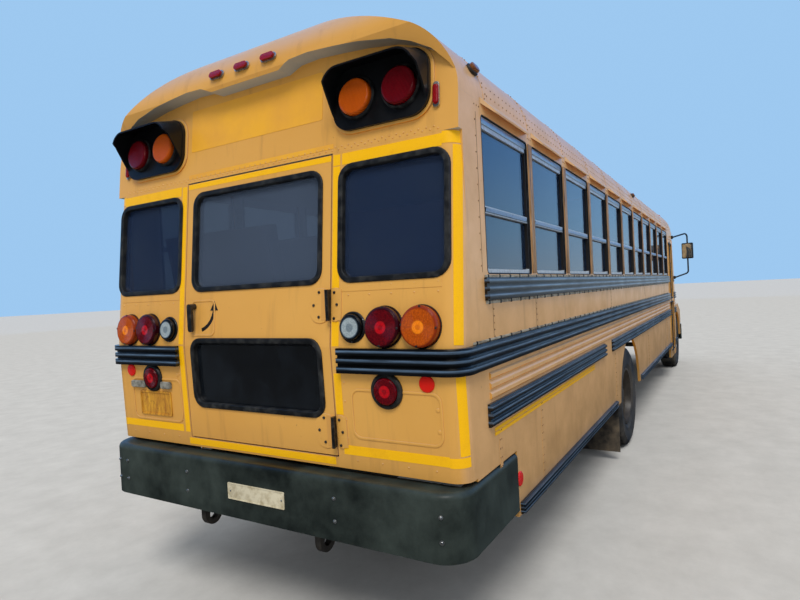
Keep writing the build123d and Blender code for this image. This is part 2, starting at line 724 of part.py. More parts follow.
# Lamps on the rear wall and cap
LAMP_Z = 1624
STOP_LAMP_Z = 1331
LAMPS = [
    # colour, distance from the middle, height, radius, proud of the wall
    ("amber", HALF - 179, LAMP_Z, 93, 42),
    ("red", HALF - 372, LAMP_Z, 93, 42),
    ("clear", HALF - 551, LAMP_Z, 62, 30),
    ("red", HALF - 376, STOP_LAMP_Z, 62, 26),
]
WARNING_Z = EAVE + 54
WARNING_RADIUS = 88
WARNING_AMBER = HALF - 513
WARNING_RED = HALF - 270
POD_INNER = WARNING_AMBER - 144
POD_OUTER = WARNING_RED + 142
POD_FOOT = WARNING_Z - 143
POD_TOP = WARNING_Z + 172
POD_CORNER = 100
POD_PROUD = 30
VISOR_REACH = 130
VISOR_LIP_TOP = POD_TOP - 38
VISOR_LIP_END = WARNING_Z + 78
VISOR_ROOT_END = WARNING_Z - 90
VISOR_SHEET = 10
VISOR_STEP = 3


def wall_disc(y, z, radius, proud, base):
    """A round lamp standing off the leaning rear wall."""
    face = rear_x(z)
    tilt = -UPPER_LEAN if z > LAMP_RAIL_TOP else LOWER_LEAN
    disc = Pos(-proud, 0, 0) * rod_x(0, proud - base, 0, 0, radius)
    disc = fillet(disc.faces().sort_by(Axis.X)[0].edges(), min(14, proud / 3))
    return Pos(face, y, z) * Rot(0, -tilt * 180 / pi, 0) * disc


def lamp_set(colour):
    solids = []
    for name, y, z, radius, proud in LAMPS:
        if name == colour:
            for side in (-1, 1):
                solids.append(wall_disc(side * y, z, radius, proud, SEAT))
    return solids


def visor_shape(inset, over):
    """The visor as a full block, from its root on the plate to its smaller lip, carried on past both ends."""
    middle = (POD_INNER + POD_OUTER) / 2
    root_half = (POD_OUTER - POD_INNER) / 2 - VISOR_STEP
    root_x = rear_x(WARNING_Z) - POD_PROUD / 2
    faces = []
    for x, top, half in (
        (root_x - VISOR_REACH - over, VISOR_LIP_TOP, root_half - 8),
        (root_x + over, POD_TOP - VISOR_STEP, root_half),
    ):
        foot = POD_FOOT + VISOR_STEP
        outline = Pos(middle, (top + foot) / 2) * RectangleRounded(
            2 * (half - inset), top - foot - 2 * inset, POD_CORNER - inset)
        faces.append(Pos(x, 0, 0) * (Plane.YZ * outline))
    return loft(faces, ruled=True)


def lamp_pod(side):
    """Black housing of a pair of warning lamps, with one hood over both that sweeps back to the plate."""
    plate = Pos((POD_INNER + POD_OUTER) / 2, (POD_FOOT + POD_TOP) / 2) * RectangleRounded(
        POD_OUTER - POD_INNER, POD_TOP - POD_FOOT, POD_CORNER)
    solid = along_x(plate, -200, 500)
    slab = polygon(
        (rear_x(POD_FOOT) - POD_PROUD, POD_FOOT), (rear_x(POD_TOP) - POD_PROUD, POD_TOP),
        (rear_x(POD_TOP) - SEAT, POD_TOP), (rear_x(POD_FOOT) - SEAT, POD_FOOT))
    solid &= along_y(slab, 0, HALF)
    root = rear_x(WARNING_Z) - POD_PROUD / 2
    sweep_back = polygon(
        (root + 20, VISOR_ROOT_END - 40), (root + 20, POD_TOP + 10), (root - VISOR_REACH - 1, POD_TOP + 10),
        (root - VISOR_REACH - 1, VISOR_LIP_END), (root - VISOR_REACH + 25, VISOR_LIP_END - 20),
        (root - 15, VISOR_ROOT_END))
    visor = (visor_shape(0, 0) - visor_shape(VISOR_SHEET, 4)) & along_y(sweep_back, 0, HALF)
    solid += visor
    return solid if side > 0 else mirror(solid, Plane.XZ)


FRONT_WARNING_Z = EAVE + 175
FRONT_POD_FACE = front_x(EAVE) + FRONT_CAP_REACH + POD_PROUD
FRONT_LAMP_SHIFT = 205
FRONT_POD_LIFT = FRONT_WARNING_Z - WARNING_Z - 15


def front_pod(side):
    """The same housing on the front cap, nearer the middle, with its back shaped to the cap."""
    y0, y1 = POD_INNER - FRONT_LAMP_SHIFT, POD_OUTER - FRONT_LAMP_SHIFT
    foot, top = EAVE + SEAT + 5, POD_TOP + FRONT_POD_LIFT
    outline = Pos((y0 + y1) / 2, (foot + top) / 2) * RectangleRounded(y1 - y0, top - foot, POD_CORNER - 20)
    solid = along_x(outline, FRONT_POD_FACE - 200, FRONT_POD_FACE)
    visor = along_x(outline - offset(outline, -VISOR_SHEET), FRONT_POD_FACE - 1, FRONT_POD_FACE + VISOR_REACH)
    sweep_back = polygon(
        (FRONT_POD_FACE - 10, VISOR_ROOT_END + FRONT_POD_LIFT), (FRONT_POD_FACE - 10, top + 10),
        (FRONT_POD_FACE + VISOR_REACH + 1, top + 10), (FRONT_POD_FACE + VISOR_REACH + 1, top - 60),
        (FRONT_POD_FACE + 15, VISOR_ROOT_END + FRONT_POD_LIFT))
    solid += visor & along_y(sweep_back, 0, HALF)
    solid -= front_cap(-SEAT)
    return solid if side > 0 else mirror(solid, Plane.XZ)


def front_warning_lamp(y):
    disc = rod_x(FRONT_POD_FACE + SEAT, FRONT_POD_FACE + 40, y, FRONT_WARNING_Z, WARNING_RADIUS)
    return fillet(disc.faces().sort_by(Axis.X)[-1].edges(), 12)


def warning_lamp(y):
    face = rear_x(WARNING_Z) - POD_PROUD
    disc = Pos(-40, 0, 0) * rod_x(0, 40 - SEAT, 0, 0, WARNING_RADIUS)
    disc = fillet(disc.faces().sort_by(Axis.X)[0].edges(), 12)
    return Pos(face, y, WARNING_Z) * Rot(0, UPPER_LEAN * 180 / pi, 0) * disc


# Pivot of the tilting nose, between two ears on the front bumper
HOOD_PIVOT_X = FRONT_FACE - FRONT_BUMPER_DEPTH - 5
HOOD_PIVOT_Z = FRONT_BUMPER_TOP + 20
HOOD_PIN = 6
HOOD_EAR = 12
HOOD_LUG = 360

# Bumpers
BUMPER_CORNER = 150
BUMPER_ROLL = 30
BUMPER_LEDGE = 60


def rear_bumper():
    """Deep wrap-round channel: a bent plate with a rolled top edge and a ledge in to the body."""
    half = HALF + 6
    start = -REAR_BUMPER_REACH
    length = REAR_BUMPER_WRAP - start

    def outline(inset):
        plan = Pos(start + inset + length, 0) * Rectangle(2 * length, 2 * (half - inset))
        solid = along_z(plan, REAR_BUMPER_FOOT, REAR_BUMPER_TOP - (inset > 0) * BUMPER_SHEET)
        ends = [e for e in solid.edges() if e.center().X < start + inset + 1]
        upright = [e for e in ends if e.bounding_box().size.Z > 50]
        solid = fillet(upright, BUMPER_CORNER - inset)
        return fillet(solid.faces().sort_by(Axis.Z)[-1].edges(), BUMPER_ROLL - inset)

    shell = outline(0) - outline(BUMPER_SHEET)
    shell -= block(REAR_BUMPER_WRAP, 4 * length, -2 * half, 2 * half, 0, CROWN)
    shell -= block(BUMPER_LEDGE, REAR_BUMPER_WRAP + 1, -half + 60, half - 60, REAR_BUMPER_TOP - 60, CROWN)
    return shell


def front_bumper():
    """Bowed channel across the nose."""
    front = FRONT_FACE
    half = HALF - 20
    back = front - FRONT_BUMPER_DEPTH
    plan = make_face(Curve() + [
        Line((back - 130, half), (back, half)),
        ThreePointArc((back, half), (front, 0), (back, -half)),
        Line((back, -half), (back - 130, -half)),
        Line((back - 130, -half), (back - 130, half)),
    ])
    bar = along_z(plan, FRONT_BUMPER_FOOT, FRONT_BUMPER_TOP)
    core = along_z(plan, FRONT_BUMPER_FOOT + BUMPER_SHEET, FRONT_BUMPER_TOP - BUMPER_SHEET)
    core = Pos(-BUMPER_SHEET, 0, 0) * core
    for y0, y1 in ((-HALF, -half + BUMPER_SHEET), (half - BUMPER_SHEET, HALF)):
        core -= block(back - 200, front, y0, y1, 0, FRONT_BUMPER_TOP)
    bar -= core
    hole = rod_y(HOOD_PIVOT_X, -HALF, HALF, HOOD_PIVOT_Z, HOOD_PIN + RUNNING_GAP)
    ear = rod_y(HOOD_PIVOT_X, HOOD_LUG + 3, HOOD_LUG + 21, HOOD_PIVOT_Z, HOOD_EAR)
    ear += block(HOOD_PIVOT_X - HOOD_EAR, HOOD_PIVOT_X + HOOD_EAR, HOOD_LUG + 3, HOOD_LUG + 21,
                 FRONT_BUMPER_TOP - 2, HOOD_PIVOT_Z)
    return bar + both_sides(ear - hole)


# Chassis frame
FRAME_REAR = -REAR_BUMPER_REACH + BUMPER_SHEET + SEAT
CROSS_MEMBERS = [150, 1300, 2450, 3650, 5100, 6400, 7700, 8900, 11180]
TOW_EYE_RADIUS = 30
TOW_EYE_Z = 560


def frame_rails():
    """Two channel rails, each with a tow eye below the rear bumper, and the cross members between them."""
    end = FRONT_FACE - FRONT_BUMPER_DEPTH - 130 - SEAT
    middle_y = RAIL_OUTER - RAIL_FLANGE / 2
    middle_z = RAIL_TOP - RAIL_HEIGHT / 2
    channel = Pos(middle_y, middle_z) * Rectangle(RAIL_FLANGE, RAIL_HEIGHT)
    channel -= Pos(middle_y - RAIL_WEB, middle_z) * Rectangle(RAIL_FLANGE, RAIL_HEIGHT - 2 * RAIL_WEB)
    rail = along_x(channel, FRAME_REAR, end)
    rail -= block(FRAME_REAR - 1, BUMPER_LEDGE + SEAT, 0, HALF, REAR_BUMPER_TOP - BUMPER_ROLL, RAIL_TOP + 1)
    eye_x = FRAME_REAR + 90
    plate = Pos(eye_x, TOW_EYE_Z + 80) * SlotCenterToCenter(160, 120, rotation=90)
    plate -= Pos(eye_x, TOW_EYE_Z) * Circle(TOW_EYE_RADIUS)
    rail += along_y(plate, RAIL_OUTER - 35, RAIL_OUTER)
    members = []
    inner = RAIL_OUTER - RAIL_WEB - SEAT
    for station in CROSS_MEMBERS:
        members.append(block(station - 40, station + 40, -inner, inner, RAIL_TOP - 150, RAIL_TOP - 20))
    return both_sides(rail) + members


# Axles, springs and what drives them
SPRING_HALF = 660
SPRING_WIDTH = 76
SPRING_THICK = 62
SPRING_BOW = 30
SPRING_TIP = 22
SPRING_Y = RAIL_OUTER - RAIL_FLANGE / 2
AXLE_TUBE = 62
HUB_FACE = 620


def leaf_spring(station):
    """A bowed pack of leaves with a hanger at each end and a seat over the axle."""
    low = TYRE_RADIUS + AXLE_TUBE + 2
    under = low + SPRING_BOW
    over = under + SPRING_TIP
    back, fore = station - SPRING_HALF, station + SPRING_HALF
    outline = make_face(Curve() + [
        ThreePointArc((back, under), (station, low), (fore, under)),
        Line((fore, under), (fore, over)),
        ThreePointArc((fore, over), (station, low + SPRING_THICK), (back, over)),
        Line((back, over), (back, under)),
    ])
    y0, y1 = SPRING_Y - SPRING_WIDTH / 2, SPRING_Y + SPRING_WIDTH / 2
    pack = along_y(outline, y0, y1)
    for x in (station - SPRING_HALF, station + SPRING_HALF):
        pack += rod_y(x, y0, y1, under + SPRING_TIP / 2, 28)
        pack += block(x - 28, x + 28, y0, y1, under + SPRING_TIP / 2, RAIL_FOOT - SEAT)
    return pack


def rear_axle():
    """Round housing with a banjo in the middle and a spindle at each end."""
    tube = rod_y(REAR_AXLE, -HUB_FACE, HUB_FACE, TYRE_RADIUS, AXLE_TUBE)
    tube += rod_y(REAR_AXLE, -REAR_TRACK_HALF - 40, REAR_TRACK_HALF + 40, TYRE_RADIUS, SPINDLE_RADIUS)
    banjo = rod_x(REAR_AXLE - 90, REAR_AXLE + 130, 0, TYRE_RADIUS, 205)
    banjo = fillet(banjo.edges(), 40)
    nose = rod_x(REAR_AXLE + 100, REAR_AXLE + 330, 0, TYRE_RADIUS, 75)
    pads = block(REAR_AXLE - 70, REAR_AXLE + 70, SPRING_Y - 45, SPRING_Y + 45,
                 TYRE_RADIUS, TYRE_RADIUS + AXLE_TUBE + 1.7)
    return tube + banjo + nose + both_sides(pads)


def front_axle():
    """Dropped beam with an upright eye at each end for the kingpin."""
    beam = block(FRONT_AXLE - 50, FRONT_AXLE + 50, -620, 620, TYRE_RADIUS - 130, TYRE_RADIUS - 50)
    arm = polygon((560, TYRE_RADIUS - 130), (620, TYRE_RADIUS - 130), (KINGPIN_HALF, TYRE_RADIUS - 50),
                  (KINGPIN_HALF, TYRE_RADIUS + 50), (600, TYRE_RADIUS - 50), (560, TYRE_RADIUS - 50))
    arms = along_x(arm, FRONT_AXLE - 45, FRONT_AXLE + 45)
    eye = rod_z(FRONT_AXLE, KINGPIN_HALF, TYRE_RADIUS - 60, TYRE_RADIUS + 60, 48)
    hole = rod_z(FRONT_AXLE, KINGPIN_HALF, 0, 1200, KINGPIN_RADIUS + RUNNING_GAP)
    side = (arms + eye) - hole
    seat = block(FRONT_AXLE - 70, FRONT_AXLE + 70, SPRING_Y - 45, SPRING_Y + 45,
                 TYRE_RADIUS - 60, TYRE_RADIUS + AXLE_TUBE + 1.7)
    return beam + both_sides(side) + both_sides(seat)


def knuckle(side):
    """Yoke above and below the beam's eye, with the kingpin through it and the wheel's spindle."""
    y = KINGPIN_HALF
    pin = rod_z(FRONT_AXLE, y, TYRE_RADIUS - 105, TYRE_RADIUS + 105, KINGPIN_RADIUS)
    ears = rod_z(FRONT_AXLE, y, TYRE_RADIUS + 66, TYRE_RADIUS + 105, 46)
    ears += rod_z(FRONT_AXLE, y, TYRE_RADIUS - 105, TYRE_RADIUS - 66, 46)
    ears += block(FRONT_AXLE - 46, FRONT_AXLE + 46, y, y + 85, TYRE_RADIUS + 66, TYRE_RADIUS + 105)
    ears += block(FRONT_AXLE - 46, FRONT_AXLE + 46, y, y + 85, TYRE_RADIUS - 105, TYRE_RADIUS - 66)
    web = block(FRONT_AXLE - 46, FRONT_AXLE + 46, y + 60, y + 90, TYRE_RADIUS - 105, TYRE_RADIUS + 105)
    spindle = rod_y(FRONT_AXLE, y + 85, FRONT_TRACK_HALF + 90, TYRE_RADIUS, SPINDLE_RADIUS)
    solid = pin + ears + web + spindle
    return solid if side > 0 else mirror(solid, Plane.XZ)


# Wheels
BEAD_HALF = 104
SHOULDER_HALF = 112


def tyre(station, y):
    """A ring with bulging sidewalls, turned about the wheel's own axis."""
    half = TYRE_WIDTH / 2
    bead = RIM_RADIUS + 6

    def side(sign):
        return [
            Line((bead, sign * BEAD_HALF), (bead + 14, sign * BEAD_HALF)),
            ThreePointArc((bead + 14, sign * BEAD_HALF), (bead + 120, sign * half),
                          (TYRE_RADIUS - 26, sign * (SHOULDER_HALF + 10))),
            Line((TYRE_RADIUS - 26, sign * (SHOULDER_HALF + 10)), (TYRE_RADIUS, sign * (SHOULDER_HALF - 12))),
        ]

    closing = [
        Line((bead, -BEAD_HALF), (bead, BEAD_HALF)),
        Line((TYRE_RADIUS, -SHOULDER_HALF + 12), (TYRE_RADIUS, SHOULDER_HALF - 12)),
    ]
    face = make_face(Curve() + side(1) + side(-1) + closing)
    return Pos(station, y, TYRE_RADIUS) * revolve(Plane.XY * face, Axis.Y)


STUDS = 10
STUD_CIRCLE = 143
HAND_HOLES = 5


def rim(station, y, dish, bore):
    """A disc wheel: rolled rim, a disc at its dish, hand holes and a ring of studs."""
    flange = RIM_RADIUS + 17
    outline = polygon(
        (RIM_RADIUS + 5.7, -BEAD_HALF), (flange, -BEAD_HALF - SEAT), (flange, -BEAD_HALF - 12),
        (RIM_RADIUS - 6, -BEAD_HALF - 12), (RIM_RADIUS - 14, -60), (RIM_RADIUS - 14, 60),
        (RIM_RADIUS - 6, BEAD_HALF + 12), (flange, BEAD_HALF + 12), (flange, BEAD_HALF + SEAT),
        (RIM_RADIUS + 5.7, BEAD_HALF))
    barrel = revolve(Plane.XY * outline, Axis.Y)
    disc = polygon((bore, dish - 7), (175, dish - 7), (RIM_RADIUS - 10, dish * 0.35 - 7),
                   (RIM_RADIUS - 10, dish * 0.35 + 7), (175, dish + 7), (bore, dish + 7))
    plate = revolve(Plane.XY * disc, Axis.Y)
    for count in range(HAND_HOLES):
        angle = 2 * pi * count / HAND_HOLES
        hole = rod_y(222 * cos(angle), -300, 300, 222 * sin(angle), 27)
        plate -= hole
    wheel = barrel + plate
    return Pos(station, y, TYRE_RADIUS) * wheel


def hub(station, y0, y1, cap):
    """The turning hub: a drum on the spindle with a cap at its outer end and the wheel studs."""
    drum = rod_y(station, y0, y1, TYRE_RADIUS, 105)
    drum -= rod_y(station, y0 - 1, cap - 30, TYRE_RADIUS, SPINDLE_RADIUS + RUNNING_GAP)
    drum += rod_y(station, y1, cap, TYRE_RADIUS, 78)
    drum -= rod_y(station, y0 - 1, cap - 30, TYRE_RADIUS, SPINDLE_RADIUS + RUNNING_GAP)
    return drum


def studs(station, y0, y1):
    pins = []
    for count in range(STUDS):
        angle = 2 * pi * (count + 0.5) / STUDS
        x = station + STUD_CIRCLE * cos(angle)
        z = TYRE_RADIUS + STUD_CIRCLE * sin(angle)
        pins.append(rod_y(x, y0, y1, z, 14))
    return pins


FRONT_DISH = 70
REAR_DISH = 105


def front_rim():
    y = FRONT_TRACK_HALF
    wheel = rim(FRONT_AXLE, y, FRONT_DISH, 100)
    wheel += hub(FRONT_AXLE, y - 40, y + FRONT_DISH + 8, y + FRONT_DISH + 60)
    return wheel + studs(FRONT_AXLE, y + FRONT_DISH, y + FRONT_DISH + 34)


def rear_rims():
    outer = REAR_TRACK_HALF
    inner = outer - DUAL_SPACING
    wheel = rim(REAR_AXLE, outer, -REAR_DISH, 100) + rim(REAR_AXLE, inner, REAR_DISH, 100)
    wheel += hub(REAR_AXLE, inner + 20, outer - REAR_DISH + 10, outer + 75)
    spacer = rod_y(REAR_AXLE, inner + REAR_DISH, outer - REAR_DISH, TYRE_RADIUS, 170)
    spacer -= rod_y(REAR_AXLE, inner, outer, TYRE_RADIUS, 100)
    return wheel + spacer + studs(REAR_AXLE, outer - REAR_DISH, outer - REAR_DISH + 36)


# Powertrain and tanks
def engine_block():
    return block(FRONT_AXLE - 420, FRONT_AXLE + 560, -280, 280, RAIL_TOP - 200, 1520)


def driveline():
    """Gearbox behind the engine and the propeller shaft back to the rear axle."""
    start = REAR_AXLE + 330 + SEAT
    end = FRONT_AXLE - 420 - SEAT
    box_start = end - 900
    axis_z = 690
    gearbox = along_x(Pos(0, axis_z) * RectangleRounded(420, 360, 90), box_start, end)
    run = hypot(box_start - start, axis_z - TYRE_RADIUS)
    turn = atan2(axis_z - TYRE_RADIUS, box_start - start) * 180 / pi
    shaft = Rot(0, -turn, 0) * rod_x(0, run, 0, 0, 48)
    shaft = Pos(start, 0, TYRE_RADIUS) * shaft
    shaft -= block(start - 200, start, -100, 100, 300, 800)
    return gearbox + shaft


TANK_STRAPS = [2760, 3360]
TANK_LENGTH = 1000
TANK_HEIGHT = 330
TANK_Z = 640
TANK_CORNER = 60
TANK_CLEAR = 20
STRAP_WIDTH = 50
STRAP_SHEET = 6


def fuel_tank():
    """Tank slung in two straps between the rails, behind the rear axle."""
    half = RAIL_OUTER - RAIL_FLANGE - TANK_CLEAR
    outline = Pos(0, TANK_Z) * RectangleRounded(2 * half, TANK_HEIGHT, TANK_CORNER)
    middle = (TANK_STRAPS[0] + TANK_STRAPS[1]) / 2
    tank = along_x(outline, middle - TANK_LENGTH / 2, middle + TANK_LENGTH / 2)
    hangers = []
    for station in TANK_STRAPS:
        ends = (station - STRAP_WIDTH / 2, station + STRAP_WIDTH / 2)
        tank += along_x(offset(outline, STRAP_SHEET), *ends)
        inner, outer = half + STRAP_SHEET + SEAT, RAIL_OUTER - RAIL_FLANGE - SEAT
        hangers += both_sides(block(*ends, inner, outer, TANK_Z, RAIL_TOP - 20))
    return [tank] + hangers


def exhaust():
    """Round silencer beside the rail and the tail pipe over the axle to the rear."""
    y = 600
    can = rod_x(5600, 6700, y, 700, 130)
    can = fillet(can.edges(), 30)
    path = FilletPolyline((120, 512, 640), (4800, 512, 700), (5300, y, 700), (9300, y, 700), radius=200)
    pipe = sweep(Plane(origin=path @ 0, z_dir=path % 0) * Circle(45), path=path)
    hangers = block(5700, 5740, RAIL_OUTER + SEAT, y, 780, 820)
    hangers += block(6560, 6600, RAIL_OUTER + SEAT, y, 780, 820)
    return can + pipe + hangers


def mud_flap():
    """Rubber flap behind the twin wheels, hung from a stay between the rail and the skirt."""
    inner = REAR_TRACK_HALF - DUAL_SPACING - 130
    outer = HALF - SKIRT_SHEET - SEAT
    station = REAR_AXLE - ARCH_RADIUS - 20
    flap = block(station - 10, station, inner, outer, 90, 1000)
    return flap + block(station, station + 40, RAIL_OUTER + SEAT, outer, 960, 1000)


# Nose: tilting hood with fenders, grille and lamps
HOOD_TOP_REAR = 1770
HOOD_TOP_FRONT = 1480
HOOD_NOSE = FRONT_FACE - FRONT_BUMPER_DEPTH - 20
HOOD_FOOT = 830
HOOD_SHELL = 30
FENDER_TOP = 1260
FENDER_HALF = HALF - 30
HOOD_GAP = 12


def hood_block(inset):
    """Hood and fenders as one block, drawn in by an inset."""
    rear = COWL + HOOD_GAP - (inset > 0)
    nose = HOOD_NOSE - inset
    sections = [
        # station, half width, top
        (rear, 960, HOOD_TOP_REAR),
        (rear + 760, 860, HOOD_TOP_REAR - 110),
        (nose, 700, HOOD_TOP_FRONT),
    ]
    faces = []
    for station, half, top in sections:
        face = Pos(0, (top - inset + HOOD_FOOT) / 2) * RectangleRounded(
            2 * (half - inset), top - inset - HOOD_FOOT, 130 - inset)
        faces.append(Pos(station, 0, 0) * (Plane.YZ * face))
    body = loft(faces, ruled=True)
    step = FRONT_FACE - FRONT_BUMPER_DEPTH - 150
    fender = polygon(
        (rear, 560), (rear, FENDER_TOP - inset), (FRONT_AXLE + 320, FENDER_TOP - inset),
        (nose - 60, FENDER_TOP - 170 - inset), (nose - 60, FRONT_BUMPER_TOP + 30),
        (step - inset, FRONT_BUMPER_TOP + 30), (step - inset, 560))
    wings = along_y(fender, -FENDER_HALF + inset, FENDER_HALF - inset)
    return body + wings


def hood():
    outer = hood_block(0)
    outer -= hood_block(HOOD_SHELL)
    arch = Pos(FRONT_AXLE, TYRE_RADIUS) * Circle(FENDER_ARCH)
    outer -= along_y(arch, -HALF, HALF)
    outer -= block(COWL - 10, FRONT_FACE, -HALF, HALF, 0, 600)
    outer -= block(COWL - 10, HOOD_NOSE - HOOD_SHELL - 3, -640, 640, 0, 1150)
    grille_face = Pos(0, 1160) * RectangleRounded(1150, 480, 70)
    outer -= along_x(grille_face, HOOD_NOSE - 120, HOOD_NOSE + 50)
    lug = rod_y(HOOD_PIVOT_X, HOOD_LUG - 60, HOOD_LUG, HOOD_PIVOT_Z, 12)
    lug += block(HOOD_NOSE - 12, HOOD_PIVOT_X, HOOD_LUG - 60, HOOD_LUG, HOOD_PIVOT_Z, HOOD_FOOT + 25)
    lug += rod_y(HOOD_PIVOT_X, HOOD_LUG - 10, HOOD_LUG + 25, HOOD_PIVOT_Z, HOOD_PIN)
    return outer + both_sides(lug)


def grille():
    """Slatted panel in the nose."""
    frame = Pos(0, 1160) * RectangleRounded(1150 - 2 * SEAT, 480 - 2 * SEAT, 70)
    frame -= Pos(0, 1160) * RectangleRounded(1080, 410, 45)
    for row in range(6):
        frame += Pos(0, 1160 - 170 + row * 68) * Rectangle(1090, 22)
    frame += Pos(0, 1160) * Rectangle(26, 420)
    return along_x(frame, HOOD_NOSE - 26, HOOD_NOSE)


def headlamp(side):
    face = Pos(side * 880, 960) * RectangleRounded(330, 170, 40)
    lamp = along_x(face, HOOD_NOSE - 60 + SEAT, HOOD_NOSE - 30)
    return lamp


# Fittings
def mirror_unit(side):
    """Loop of tube out from the front corner with a flat head on its outer leg."""
    x = COWL - 40
    top_x = front_x(2590) - 50
    radius = 14
    root_y = HALF + 20
    out_y = HALF + 250
    path = FilletPolyline(
        (top_x, root_y, 2560), (x + 60, out_y, 2640), (x + 60, out_y, 1880), (x, root_y, 1800), radius=60)
    tube = sweep(Plane(origin=path @ 0, z_dir=path % 0) * Circle(radius), path=path)
    head = Pos(x + 60, out_y, 2300) * Rot(0, 0, 12) * fillet(Box(60, 200, 300).edges(), 20)
    feet = block(top_x - 30, top_x + 30, HALF + SEAT, HALF + 30, 2530, 2590)
    feet += block(x - 30, x + 30, HALF + SEAT, HALF + 30, 1770, 1830)
    solid = tube + head + feet
    return solid if side > 0 else mirror(solid, Plane.XZ)


SEAT_WIDTH = 960
CUSHION_TOP = FLOOR_TOP + 430
CUSHION_FOOT = CUSHION_TOP - 130
BACK_TOP = FLOOR_TOP + 1050
LEG = 40
DRIVER_Y = HALF - 599


def bench(station, side):
    """A bench with an upright padded back; its edges stop short of the wall."""
    outline = polygon(
        (station - 90, CUSHION_FOOT), (station + 400, CUSHION_FOOT), (station + 400, CUSHION_TOP),
        (station + 20, CUSHION_TOP - 20), (station - 90, BACK_TOP), (station - 180, BACK_TOP))
    y1 = HALF - WALL - 12
    seat = along_y(outline, y1 - SEAT_WIDTH, y1)
    return seat if side > 0 else mirror(seat, Plane.XZ)


def bench_legs(station, side):
    """Two square legs under the aisle end and a plate along the wall end."""
    y1 = HALF - WALL - 12
    y0 = y1 - SEAT_WIDTH
    foot = FLOOR_TOP + SEAT
    top = CUSHION_FOOT - SEAT
    legs = [block(station + x, station + x + LEG, y0 + 60, y0 + 60 + LEG, foot, top) for x in (40, 300)]
    legs.append(block(station + 40, station + 340, y1 - 100, y1 - 60, foot, top))
    return legs if side > 0 else [mirror(leg, Plane.XZ) for leg in legs]


def driver_seat():
    """Driver's seat: a cushion and a high back on one boxed pedestal."""
    x = BODY_LENGTH - 742
    foot = FLOOR_TOP + 380
    back_top = foot + 770
    outline = polygon((x, foot), (x + 400, foot + 20), (x + 400, foot + 140), (x + 60, foot + 120),
                      (x - 80, back_top), (x - 190, back_top), (x - 80, foot))
    seat = along_y(outline, DRIVER_Y - 250, DRIVER_Y + 250)
    return seat + block(x + 60, x + 360, DRIVER_Y - 170, DRIVER_Y + 170, FLOOR_TOP + SEAT, foot + 10)


DASH_FOOT = 1350
DASH_TOP = 1780


def dashboard():
    """Instrument panel across the bulkhead with a steering wheel on its column."""
    edge = HALF - WALL - 5
    back = COWL - WALL - SEAT
    face, brow = COWL - 420, COWL - 330
    outline = polygon((back, DASH_FOOT), (back, DASH_TOP), (brow, DASH_TOP), (face, DASH_TOP - 80),
                      (face, DASH_FOOT + 130), (brow, DASH_FOOT))
    panel = along_y(outline, -430, edge)
    wheel = Torus(225, 16) + Cylinder(40, 30) + Box(440, 26, 12) + Box(26, 440, 12)
    column = Pos(0, 0, -240) * Cylinder(28, 480)
    steering = Pos(COWL - 590, DRIVER_Y, 1860) * Rot(0, -25, 0) * (wheel + column)
    return panel + steering


def stop_arm():
    """Octagonal blade that lies against the side and swings out from its front edge."""
    centre_x = STOP_ARM_STATION + 255
    octagon = RegularPolygon(225, 8, major_radius=False, rotation=22.5)
    blade = along_y(Pos(centre_x, STOP_ARM_Z) * octagon, HALF + 52, HALF + 62)
    pivot = rod_z(STOP_ARM_PIVOT, HALF + 57, STOP_ARM_Z - 70, STOP_ARM_Z + 70, 10)
    strap = block(centre_x + 150, STOP_ARM_PIVOT, HALF + 52, HALF + 62, STOP_ARM_Z - 50, STOP_ARM_Z + 50)
    return blade + strap + pivot


def stop_arm_base():
    """Motor box on the side with an ear above and below the blade's pivot."""
    pivot, middle = STOP_ARM_PIVOT, STOP_ARM_Z
    box = block(pivot + 16, pivot + 130, HALF - 1, HALF + 60, middle - 86, middle + 86)
    for z0, z1 in ((-86, -70 - SEAT), (70 + SEAT, 86)):
        box += block(pivot - 12, pivot + 20, HALF - 1, HALF + 70, middle + z0, middle + z1)
    return box


